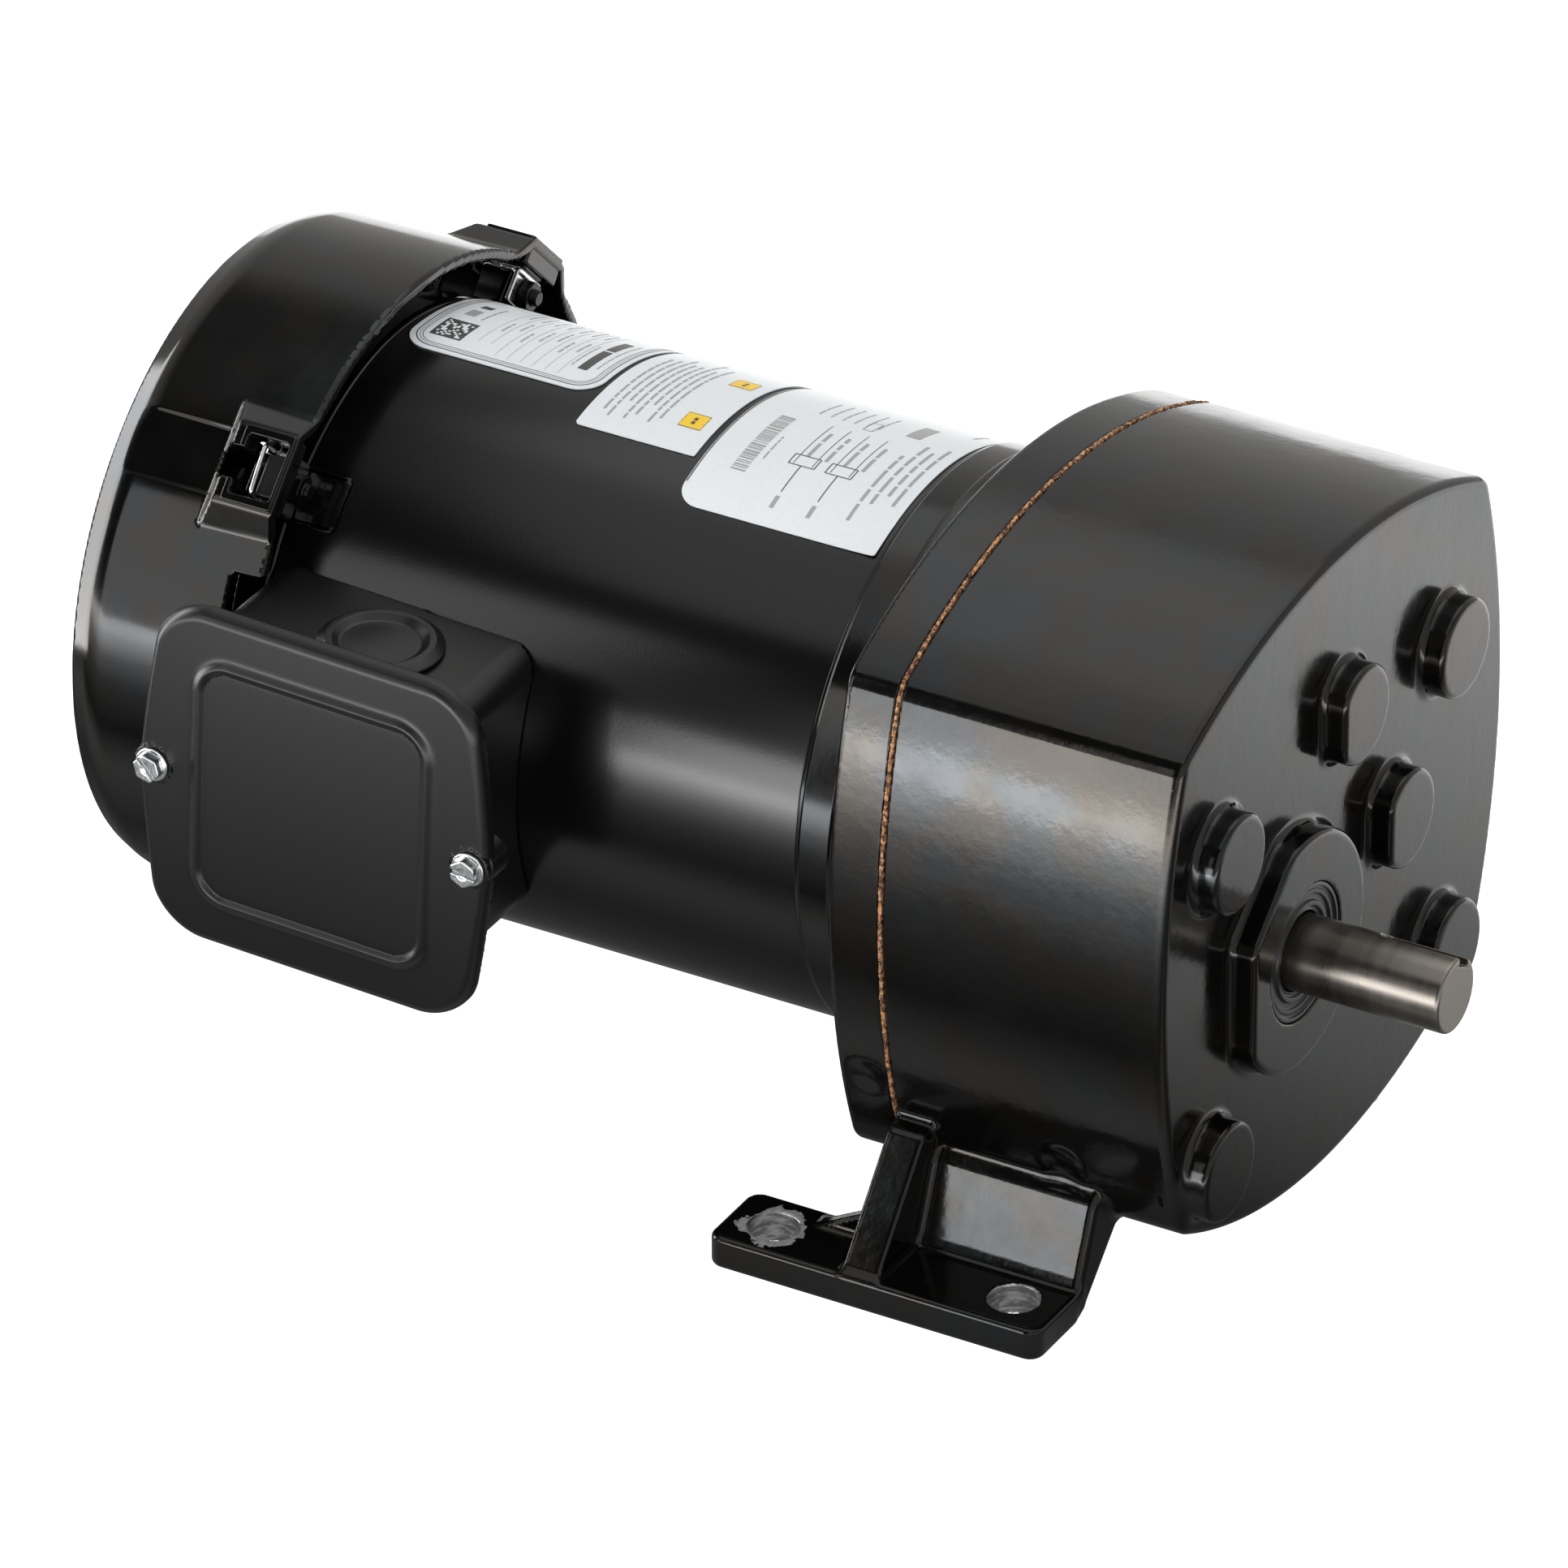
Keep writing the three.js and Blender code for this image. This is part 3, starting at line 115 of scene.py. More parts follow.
CASE_TOP_ARC = 93.8
SCREW_BOSSES = [(81.6, 41.6), (-33.8, 42.0), (-36.6, -41.6), (80.5, -42.0)]
SHAFT_A = (28.945, 50.388)
SHAFT_B = (54.069, 8.611)
OUTPUT = (0, 0)
BOSS_R = 12.7
MAIN_BOSS_R = 30.5
SHAFT_R = 9.525
SCREW_HOLE_R, SCREW_HEAD_R = 4.3, 6.8
BUSH_R, BALL_BEARING_R = 9.3, 20.3
MOTOR_BOLT_OUT, MOTOR_BOLT_R = 65.5, 2.8
STUD_OUT = 77.5

FEET_MID = (CASE_LOW[1] + CASE_HIGH[1]) / 2
FOOT_OUTER = CASE_LOW[1]
FOOT_INNER = -57.5
FOOT_TOP = -71.0
FOOT_FRONT, FOOT_BACK = -68.0, CASE_LOW[0]
FOOT_HOLES = (-80.4, -145.6)
FOOT_HOLE_Y = -69.5
FOOT_HOLE_R = 6.35

FAN_R = 85.5
FAN_WALL = 3.0
RIB_HEIGHT = 4.5
RIB_HALF = 10.0

BOX_X = -267.5
BOX_Z = 12.3
BOX_TILT = math.radians(2.3)
BOX_FACE = -78.8
BOX_HALF_X, BOX_HALF_Z = 37.0, 36.5
BOX_SCREW = 43.9


# ---------------- distance fields, in millimetres

def disc(u, v, cu, cv, r):
    return np.hypot(u - cu, v - cv) - r


def both(a, b, r=0.0):
    """Inside a and b, with the edge between them rounded to radius r."""
    if r <= 0:
        return np.maximum(a, b)
    return np.minimum(np.maximum(a, b), -r) + np.hypot(np.maximum(a + r, 0), np.maximum(b + r, 0))


def cut(a, b, r=0.0):
    """Inside a but not b, with the edge between them rounded to radius r."""
    return both(a, -b, r)


def either(a, b, r=0.0):
    """Inside a or b, with a fillet of radius r between them."""
    if r <= 0:
        return np.minimum(a, b)
    return np.maximum(np.minimum(a, b), r) - np.hypot(np.maximum(r - a, 0), np.maximum(r - b, 0))


def slab(v, low, high):
    return np.abs(v - (low + high) / 2) - (high - low) / 2


def rectangle(u, v, half_u, half_v, corner):
    """A rounded rectangle about the origin."""
    du = np.abs(u) - half_u + corner
    dv = np.abs(v) - half_v + corner
    outside = np.hypot(np.maximum(du, 0), np.maximum(dv, 0))
    return outside + np.minimum(np.maximum(du, dv), 0) - corner


def bore(u, v, at, r, depth):
    """A round hole about an axis, only where the distance depth is below zero."""
    return both(disc(u, v, *at, r), depth)


def nearest(angle, count):
    """The angle from the nearest of count equal directions."""
    return angle - np.round(angle / (2 * math.pi / count)) * (2 * math.pi / count)


def quarter(y, z):
    """Distance out along the nearest of the four ribs, and distance to its side."""
    a, b = np.abs(y - MOTOR_Y), np.abs(z - MOTOR_Z)
    return (a + b) / math.sqrt(2), (a - b) / math.sqrt(2)


def half_plane(u, v, at, normal):
    """Distance in front of a line through at, along its outward normal."""
    length = math.hypot(*normal)
    return ((u - at[0]) * normal[0] + (v - at[1]) * normal[1]) / length


# ---------------- the surface net

BLOCK = 12


def sample(field, low, counts, step):
    """The field on a grid; blocks that lie far from the surface only get its sign."""
    values = np.empty(counts, np.float32)
    starts = [np.arange(0, n, BLOCK) for n in counts]
    grid = np.stack(np.meshgrid(*starts, indexing="ij"), -1).reshape(-1, 3)
    centres = low + step * (grid + (BLOCK - 1) / 2)
    rough = field(*centres.T)
    reach = step * BLOCK * math.sqrt(3) / 2 * 1.3 + step
    offsets = np.arange(BLOCK)
    for start, distance in zip(grid, rough):
        stop = np.minimum(start + BLOCK, counts)
        window = tuple(slice(a, b) for a, b in zip(start, stop))
        if abs(distance) > reach:
            values[window] = np.sign(distance) * 1e3
            continue
        axes = [low[a] + step * (start[a] + offsets[: stop[a] - start[a]]) for a in range(3)]
        x, y, z = np.meshgrid(*axes, indexing="ij")
        values[window] = field(x, y, z)
    return values


def surface_net(field, low, high, step):
    """Vertices, quads and normals of the field's zero surface."""
    low = np.array(low, float)
    counts = np.ceil((np.array(high, float) - low) / step).astype(int) + 1
    values = sample(field, low, counts, step)
    inside = values < 0
    cells = counts - 1
    corner_sum = np.zeros(cells, np.uint8)
    for corner in np.ndindex(2, 2, 2):
        corner_sum += inside[tuple(slice(c, c + n) for c, n in zip(corner, cells))]
    active = (corner_sum > 0) & (corner_sum < 8)
    index = np.full(cells, -1, np.int64)
    index[active] = np.arange(active.sum())
    at = np.argwhere(active)
    total = np.zeros((len(at), 3))
    hits = np.zeros(len(at))
    for axis in range(3):
        others = [a for a in range(3) if a != axis]
        for shift in np.ndindex(2, 2):
            base = at.copy()
            base[:, others[0]] += shift[0]
            base[:, others[1]] += shift[1]
            end = base.copy()
            end[:, axis] += 1
            v0, v1 = values[tuple(base.T)], values[tuple(end.T)]
            crosses = (v0 < 0) != (v1 < 0)
            part = np.where(crosses, v0 / np.where(crosses, v0 - v1, 1), 0)
            point = base.astype(float)
            point[:, axis] += part
            total += point * crosses[:, None]
            hits += crosses
    points = low + step * (total / hits[:, None])
    quads = []
    for axis in range(3):
        u, v = (axis + 1) % 3, (axis + 2) % 3
        first, second = [slice(1, -1)] * 3, [slice(1, -1)] * 3
        first[axis], second[axis] = slice(0, -1), slice(1, None)
        changes = np.argwhere(inside[tuple(first)] != inside[tuple(second)])
        changes += [0 if a == axis else 1 for a in range(3)]
        ring = []
        for du, dv in ((1, 1), (0, 1), (0, 0), (1, 0)):
            cell = changes.copy()
            cell[:, u] -= du
            cell[:, v] -= dv
            ring.append(index[tuple(cell.T)])
        quad = np.stack(ring, 1)
        backward = ~inside[tuple(changes.T)]
        quad[backward] = quad[backward, ::-1]
        quads.append(quad)
    quads = np.concatenate(quads)
    for _ in range(3):
        slope = gradient(field, points)
        move = field(*points.T)[:, None] * slope / np.maximum((slope ** 2).sum(1), 0.2)[:, None]
        points -= np.clip(move, -step, step)
    return points, quads


def gradient(field, points, h=0.05):
    columns = []
    for axis in range(3):
        ahead, behind = points.copy(), points.copy()
        ahead[:, axis] += h
        behind[:, axis] -= h
        columns.append((field(*ahead.T) - field(*behind.T)) / (2 * h))
    return np.stack(columns, 1)


# ---------------- meshes

def new_object(name, data, material=None):
    piece = bpy.data.objects.new(name, data)
    bpy.context.scene.collection.objects.link(piece)
    if material:
        data.materials.append(material)
    return piece


def smooth(mesh):
    mesh.polygons.foreach_set("use_smooth", [True] * len(mesh.polygons))


def places(items, what):
    """Where a mesh's vertices or faces are, in millimetres, one row each."""
    values = np.empty(len(items) * 3)
    items.foreach_get(what, values)
    return values.reshape(-1, 3) / MM


def moulded(name, field, low, high, step, material):
    """A piece from a distance field, shaded by the field's own slope."""
    points, quads = surface_net(field, low, high, step)
    mesh = bpy.data.meshes.new(name)
    mesh.from_pydata((points * MM).tolist(), [], quads.tolist())
    smooth(mesh)
    slope = gradient(field, places(mesh.vertices, "co"))
    slope /= np.maximum(np.linalg.norm(slope, axis=1), 1e-9)[:, None]
    corners = np.empty(len(mesh.loops), np.int64)
    mesh.loops.foreach_get("vertex_index", corners)
    mesh.normals_split_custom_set(slope[corners].tolist())
    return new_object(name, mesh, material)


def skinned(name, rings, material, closed=False, ends=False, sharp=30):
    """A skin over rings of points; a ring of one point closes its end of the skin."""
    work = bmesh.new()
    rings = [[work.verts.new([c * MM for c in point]) for point in ring] for ring in rings]
    count = max(len(ring) for ring in rings)
    for a, b in zip(rings, rings[1:] + (rings[:1] if closed else [])):
        for i in range(count):
            j = (i + 1) % count
            corners = [a[i % len(a)], a[j % len(a)], b[j % len(b)], b[i % len(b)]]
            unique = list(dict.fromkeys(corners))
            if len(unique) > 2:
                work.faces.new(unique)
    if ends:
        work.faces.new(rings[0][::-1])
        work.faces.new(rings[-1])
    return finished(name, work, material, sharp)


def lathe(name, profile, axis, material, segments=192, steps=5):
    """A turned piece from (x, radius) or (x, radius, rounding), closed on itself or the axis."""
    profile = rounded_profile(profile, steps)
    turn = [2 * math.pi * i / segments for i in range(segments)]
    rings = [[(x, axis[0] + r * math.cos(a), axis[1] + r * math.sin(a))
              for a in (turn if r > 1e-6 else [0])] for x, r in profile]
    return skinned(name, rings, material, closed=len(rings[0]) > 1 and len(rings[-1]) > 1)


def finished(name, work, material, sharp=30, outward=True):
    """Writes a bmesh as a smooth-shaded piece whose edges above the sharp angle stay hard."""
    if outward:
        bmesh.ops.recalc_face_normals(work, faces=work.faces[:])
    mesh = bpy.data.meshes.new(name)
    for edge in work.edges:
        if len(edge.link_faces) == 2 and edge.calc_face_angle(0) > math.radians(sharp):
            edge.smooth = False
    work.to_mesh(mesh)
    work.free()
    smooth(mesh)
    return new_object(name, mesh, material)


def rounded_profile(points, steps):
    """Rounds a profile's corners: points are (x, r) or (x, r, radius)."""
    made = []
    for i, point in enumerate(points):
        radius = point[2] if len(point) > 2 else 0
        here = Vector(point[:2])
        if radius <= 0 or i in (0, len(points) - 1):
            made.append(tuple(here))
            continue
        before = (Vector(points[i - 1][:2]) - here).normalized()
        after = (Vector(points[i + 1][:2]) - here).normalized()
        half = before.angle(after) / 2
        reach = radius / math.tan(half)
        start, end = here + before * reach, here + after * reach
        for k in range(steps + 1):
            t = k / steps
            made.append(tuple(start * (1 - t) ** 2 + here * 2 * t * (1 - t) + end * t ** 2))
    return made


def merged(name, parts, material=None):
    """Joins meshes into one piece and keeps each part's material."""
    work = bmesh.new()
    mesh = bpy.data.meshes.new(name)
    for part in parts:
        slot = len(mesh.materials)
        mesh.materials.append(material or part.data.materials[0])
        before = len(work.faces)
        part.data.transform(part.matrix_world)
        work.from_mesh(part.data)
        work.faces.ensure_lookup_table()
        for face in work.faces[before:]:
            face.material_index = slot
        bpy.data.objects.remove(part)
    work.to_mesh(mesh)
    work.free()
    return new_object(name, mesh)


def place(piece, slot, *nodes, body="housing"):
    """Sets a finished piece on its body, in place of the CAD nodes that it stands for."""
    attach(piece, body)
    if nodes:
        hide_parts(*nodes)
    return piece


def cast(name, field, node, step, material, slot, body="housing", margin=2.0, ahead=2.0):
    """A moulded piece on its body, in place of one node and sampled a little past its box."""
    low, high = span(node)
    high = high + (ahead, margin, margin)
    return place(moulded(name, field, low - margin, high, step, material), slot, node, body=body)


# ---------------- materials

class Nodes:
    """The node tree of a new material, or of a given world, with short ways to add nodes."""

    def __init__(self, name, world=None):
        self.material = world or bpy.data.materials.new(name)
        self.material.use_nodes = True
        self.tree = self.material.node_tree
        self.surface = self.tree.nodes["Background" if world else "Principled BSDF"]

    def add(self, kind, inputs=None, **settings):
        node = self.tree.nodes.new(kind)
        for key, value in settings.items():
            setattr(node, key, value)
        for key, value in (inputs or {}).items():
            self.feed(node.inputs[key], value)
        return node

    def feed(self, socket, value):
        if isinstance(value, bpy.types.NodeSocket):
            self.tree.links.new(value, socket)
        else:
            socket.default_value = value

    def set(self, **inputs):
        for key, value in inputs.items():
            self.feed(self.surface.inputs[key.replace("_", " ")], value)

    def math(self, operation, *values):
        inputs = dict(enumerate(values))
        return self.add("ShaderNodeMath", inputs, operation=operation).outputs[0]

    def place(self, stretch=(1, 1, 1)):
        """Object coordinates in millimetres, stretched per axis."""
        where = self.add("ShaderNodeTexCoord").outputs["Object"]
        scale = tuple(s / MM for s in stretch)
        inputs = {0: where, 1: scale}
        return self.add("ShaderNodeVectorMath", inputs, operation="MULTIPLY").outputs[0]

    def along(self, axis):
        """One object coordinate in millimetres."""
        return self.add("ShaderNodeSeparateXYZ", {0: self.place()}).outputs[axis]

    def noise(self, size, detail=3, rough=0.55, stretch=(1, 1, 1)):
        """Noise whose grain is about the given size in millimetres."""
        inputs = {"Vector": self.place(stretch), "Scale": 1 / size,
                  "Detail": detail, "Roughness": rough}
        return self.add("ShaderNodeTexNoise", inputs).outputs["Fac"]

    def remap(self, value, low, high, to_low=0, to_high=1, kind="SMOOTHSTEP"):
        inputs = {"Value": value, "From Min": low, "From Max": high,
                  "To Min": to_low, "To Max": to_high}
        node = self.add("ShaderNodeMapRange", inputs, interpolation_type=kind)
        return node.outputs["Result"]

    def mix(self, factor, a, b):
        node = self.add("ShaderNodeMix", data_type="RGBA")
        self.feed(node.inputs["Factor"], factor)
        self.feed(node.inputs[6], a)
        self.feed(node.inputs[7], b)
        return node.outputs[2]

    def bump(self, height, depth, base=None):
        """A bump of the given depth in millimetres."""
        inputs = {"Height": height, "Distance": depth * MM, "Strength": 1}
        if base:
            inputs["Normal"] = base
        return self.add("ShaderNodeBump", inputs).outputs["Normal"]


WARM_OIL, COOL_OIL = (1, 0.93, 0.85, 1), (0.9, 0.95, 1, 1)


def grey(value, warm=0.0):
    return (value * (1 + warm), value, value * (1 - warm), 1)


def enamel(name, base, roughness, peel):
    """Black stoving enamel: a soft orange peel, dull and clear areas and a faint oil tint."""
    m = Nodes(name)
    m.set(Base_Color=base, Normal=m.bump(m.noise(2.6, 2), peel))
    cloud = m.noise(16, 4, 0.6)
    m.set(Roughness=m.remap(cloud, 0.35, 0.7, roughness * 0.82, roughness * 1.3))
    m.set(Specular_Tint=m.mix(m.remap(m.noise(24, 2), 0.35, 0.65), WARM_OIL, COOL_OIL))
    return m.material


def marked(m, marks, base, dark):
    """A base colour that darkens a little where the marks are low."""
    m.set(Base_Color=m.mix(m.remap(marks, 0.3, 0.7), [c * dark for c in base[:3]] + [1], base))


def metal(name, base, roughness, grain=0.0, size=1.0, stretch=(1, 1, 1)):
    m = Nodes(name)
    m.set(Metallic=1.0)
    marks = m.noise(size, 4, 0.6, stretch)
    marked(m, marks, base, 0.82)
    m.set(Roughness=m.remap(marks, 0.3, 0.7, roughness * 0.85, roughness * 1.25))
    if grain:
        m.set(Normal=m.bump(marks, grain))
    return m.material


def plain(name, base, roughness, grain=0.0, size=1.0):
    m = Nodes(name)
    marks = m.noise(size, 3)
    marked(m, marks, base, 0.96)
    m.set(Roughness=roughness)
    if grain:
        m.set(Normal=m.bump(marks, grain))
    return m.material


CHIP_R = 8.5
ROUGH_CAST_TOP, ROUGH_CAST_FULL = -46, -52


def case_paint():
    """The case enamel, with a chip of bare casting round the near foot's rear bolt hole."""
    m = Nodes("case_enamel")
    peel = m.bump(m.noise(1.9, 3, 0.6), 0.026)
    streaks = m.bump(m.noise(4.5, 3, 0.6, (1, 1, 0.35)), 0.02, peel)
    low_down = m.remap(m.along("Z"), ROUGH_CAST_TOP, ROUGH_CAST_FULL)
    rough_cast = m.bump(m.math("MULTIPLY", low_down, m.noise(4, 2, 0.5)), 0.05, streaks)
    lumps = m.bump(m.noise(10, 2), 0.07, rough_cast)
    hole = (FOOT_HOLES[1], FOOT_HOLE_Y, FOOT_TOP)
    away = m.add("ShaderNodeVectorMath", {0: m.place(), 1: hole}, operation="DISTANCE")
    edge = m.math("ADD", away.outputs["Value"], m.remap(m.noise(7, 3), 0.3, 0.7, -1.6, 1.6))
    chip = m.remap(edge, CHIP_R, CHIP_R - 0.3)
    grain = m.mix(m.remap(m.noise(1.2, 3), 0.3, 0.7), grey(0.22), grey(0.34))
    m.set(Base_Color=m.mix(chip, grey(0.002, 0.05), grain), Normal=lumps)
    gloss = m.remap(m.noise(18, 4, 0.65), 0.35, 0.7, 0.1, 0.19)
    m.set(Roughness=m.math("ADD", gloss, m.remap(chip, 0, 1, 0, 0.35)))
    warm = m.remap(m.noise(26, 2), 0.35, 0.65)
    m.set(Specular_Tint=m.mix(warm, (1, 0.92, 0.83, 1), COOL_OIL))
    return m.material


def shaft_metal():
    """Ground steel: faint bands round the shaft and fine marks."""
    m = Nodes("ground_steel")
    bands = m.remap(m.noise(6, 2, 0.5, (1.6, 0.12, 0.12)), 0.3, 0.7)
    fine = m.noise(0.8, 2, 0.5, (2.5, 0.1, 0.1))
    m.set(Metallic=1.0, Normal=m.bump(fine, 0.002))
    m.set(Base_Color=m.mix(bands, (0.24, 0.215, 0.19, 1), (0.28, 0.26, 0.235, 1)))
    m.set(Roughness=m.remap(bands, 0, 1, 0.27, 0.33, "LINEAR"))
    return m.material


def bored_metal():
    """Bare casting with the rings that a drill leaves."""
    m = Nodes("bored_casting")
    wander = m.remap(m.noise(3, 2), 0, 1, 0, 2.5)
    rings = m.math("SINE", m.math("MULTIPLY_ADD", m.along("Z"), 4.2, wander))
    shade = m.remap(m.noise(2.5, 4, 0.7, (0.5, 0.5, 1.6)), 0.4, 0.62)
    m.set(Metallic=1.0, Base_Color=m.mix(shade, grey(0.35), grey(0.9)), Roughness=0.42)
    m.set(Normal=m.bump(rings, 0.05))
    return m.material


def gasket_cork():
    m = Nodes("gasket_cork")
    crumbs = m.remap(m.noise(1.3, 3, 0.7), 0.4, 0.6)
    m.set(Base_Color=m.mix(crumbs, (0.06, 0.02, 0.007, 1), (0.62, 0.32, 0.15, 1)))
    m.set(Roughness=0.75, Normal=m.bump(crumbs, 0.2))
    return m.material


CASE = case_paint()
BELL = enamel("bell_enamel", grey(0.002), 0.12, 0.01)
SHELL = plain("shell_paint", grey(0.002), 0.2, 0.012, 0.6)
FAN_PLASTIC = enamel("fan_cover_plastic", grey(0.002), 0.12, 0.005)
BOX = plain("box_powder_coat", grey(0.003), 0.33, 0.014, 0.7)
SEAL_CASE = plain("seal_case", grey(0.02), 0.3)
BLACK_STEEL = metal("blackened_steel", grey(0.03), 0.35, 0.01, 1.0)
RUBBER = plain("seal_rubber", grey(0.012), 0.36, 0.02, 0.5)
PLASTIC = plain("black_nylon", grey(0.005), 0.28, 0.01, 0.8)
CASTING = bored_metal()
ZINC = metal("bright_zinc", (0.72, 0.74, 0.75, 1), 0.22, 0.01, 1.5)
STEEL = metal("gear_steel", (0.46, 0.46, 0.46, 1), 0.3, 0.01, 2.0)
BEARING = metal("bearing_steel", (0.6, 0.6, 0.61, 1), 0.18)
SHAFT = shaft_metal()
CORK = gasket_cork()
FILM = plain("label_film", (0.7, 0.73, 0.75, 1), 0.35)
INK = plain("label_ink", grey(0.05), 0.4)
GREY_INK = plain("label_grey_ink", grey(0.33), 0.4)
YELLOW_INK = plain("label_yellow_ink", (0.85, 0.55, 0.02, 1), 0.4)
BRONZE = metal("sintered_bronze", (0.5, 0.34, 0.15, 1), 0.42, 0.02, 0.6)
LAMINATION = metal("core_laminations", (0.28, 0.28, 0.3, 1), 0.4, 0.05, 0.7, (4, 1, 1))
WINDING = plain("varnished_winding", (0.42, 0.16, 0.05, 1), 0.3, 0.3, 1.4)
ROTOR = metal("rotor_core", (0.45, 0.45, 0.47, 1), 0.35, 0.03, 1.0)
LEAD = plain("lead_insulation", (0.05, 0.1, 0.35, 1), 0.4)
BOARD = plain("switch_board", (0.24, 0.11, 0.05, 1), 0.55, 0.03, 1.0)

CAD_LOOKS = {
    "shaft_steel": SHAFT, "gear_steel": STEEL, "bearing_steel": BEARING, "zinc": ZINC,
    "gasket": CORK, "seal": RUBBER, "bronze": BRONZE, "lamination": LAMINATION, "copper": WINDING,
    "rotor": ROTOR, "lead_insulation": LEAD, "board": BOARD, "case_paint": BELL,
    "shell_paint": SHELL, "fan_plastic": FAN_PLASTIC, "box_paint": BOX, "black_plastic": PLASTIC,
    "label_film": FILM,
}
for part in frame["record"]["subparts"]:
    mesh = frame["nodes"][part["node"]].data
    mesh.materials.clear()
    mesh.materials.append(CAD_LOOKS[part["material_slot"]])


# ---------------- gear case

def case_outline(y, z, inset=0.0, corner=2.5):
    top = disc(y, z, CASE_MID, CASE_TOP_ARC - TOP_R, TOP_R)
    bottom = disc(y, z, CASE_MID, CASE_BOTTOM + BOTTOM_R, BOTTOM_R)
    lean = SIDE_R - CASE_HALF
    far, near = (disc(y, z, CASE_MID + side * lean, CASE_SIDE_Z, SIDE_R) for side in (1, -1))
    sides = both(far, near)
    return both(both(top, bottom) + inset, sides + inset, corner)


def boss(x, y, z, axis, radius, flats=()):
    """A round boss on the front face, with flats given as (distance, angle in degrees)."""
    side = disc(y, z, *axis, radius)
    for distance, degrees in flats:
        a = math.radians(degrees)
        flat = (y - axis[0]) * math.cos(a) + (z - axis[1]) * math.sin(a) - distance
        side = both(side, flat, 1.6)
    return both(both(side, x - BOSS_FACE, 1.5), CASE_FRONT - 3 - x)


def column(y, z, axis):
    """The column round a case screw, webbed outwards to the wall."""
    out = np.subtract(axis, CASE_CENTRE)
    out /= np.linalg.norm(out)
    along = (y - axis[0]) * out[0] + (z - axis[1]) * out[1]
    across = np.abs((z - axis[1]) * out[0] - (y - axis[0]) * out[1])
    return either(np.hypot(along, across) - 7.5, both(across - 3.5, -along))


def convex(u, v, points, corner=0.0):
    """A convex polygon, with its corners rounded."""
    middle = np.mean(points, axis=0)
    inside = None
    for a, b in zip(points, points[1:] + points[:1]):
        normal = np.array([b[1] - a[1], a[0] - b[0]], float)
        if normal @ (middle - a) > 0:
            normal = -normal
        plane = half_plane(u, v, a, normal)
        inside = plane if inside is None else both(inside, plane, corner)
    return inside


def feet(x, y, z):
    """Both feet: the far one is the near one mirrored about the plane between them."""
    y = FEET_MID - np.abs(y - FEET_MID)
    plan = rectangle(x - (FOOT_FRONT + FOOT_BACK) / 2, y - (FOOT_OUTER + FOOT_INNER) / 2,
                     (FOOT_FRONT - FOOT_BACK) / 2, (FOOT_INNER - FOOT_OUTER) / 2, 4.0)
    plate = both(plan, slab(z, FLOOR_Z, FOOT_TOP), 1.3)
    web_outline = [(-60, -71), (-57.6, FLOOR_Z + 0.5), (-38, -60), (-44, -48), (-51.5, -50)]
    web = both(convex(y, z, web_outline, 1.5), slab(x, SPLIT + 0.5, FOOT_FRONT), 2.2)
    rib_outline = [(FOOT_OUTER + 1, -76), (FOOT_OUTER + 0.8, -71.5), (-56, -42.5), (-48, -42.5),
                   (-48, -76)]
    rib = both(convex(y, z, rib_outline, 1.5), slab(x, SPLIT, SPLIT + 10), 1.0)
    gusset = convex(x, z, [(SPLIT + 2, -76), (SPLIT + 2, -62), (-137, FOOT_TOP), (-137, -76)], 0.8)
    gusset = both(gusset, slab(y, -64, -60), 1.0)
    whole = either(either(plate, web, 3.0), either(rib, gusset, 1.5), 2.0)
    for hole in FOOT_HOLES:
        whole = cut(whole, disc(x, y, hole, FOOT_HOLE_Y, FOOT_HOLE_R), 0.5)
    return whole


DIMPLES = [(-78.0, -46.0), (-129.0, -36.0)]    # round marks low on each side, as (x, z)
DIMPLE_R = 9.0


def side_dimples(x, y, z):
    """Shallow spherical dents low on the case's sides."""
    h = np.abs(y - CASE_MID)
    dent = None
    for at_x, at_z in DIMPLES:
        reach = CASE_HALF - SIDE_R + math.sqrt(SIDE_R ** 2 - (at_z - CASE_SIDE_Z) ** 2)
        away = h - reach - DIMPLE_R - 4.2
        ball = np.sqrt((x - at_x) ** 2 + away ** 2 + (z - at_z) ** 2) - DIMPLE_R - 5
        dent = ball if dent is None else either(dent, ball)
    return dent


def hollow_out(body, hollow, y, z, bosses):
    """Cuts a case half hollow, but for the screw columns and the (axis, radius, depth) bosses."""
    for axis in SCREW_BOSSES:
        hollow = cut(hollow, column(y, z, axis))
    for axis, radius, depth in bosses:
        hollow = cut(hollow, bore(y, z, axis, radius, depth))
    return cut(body, hollow)


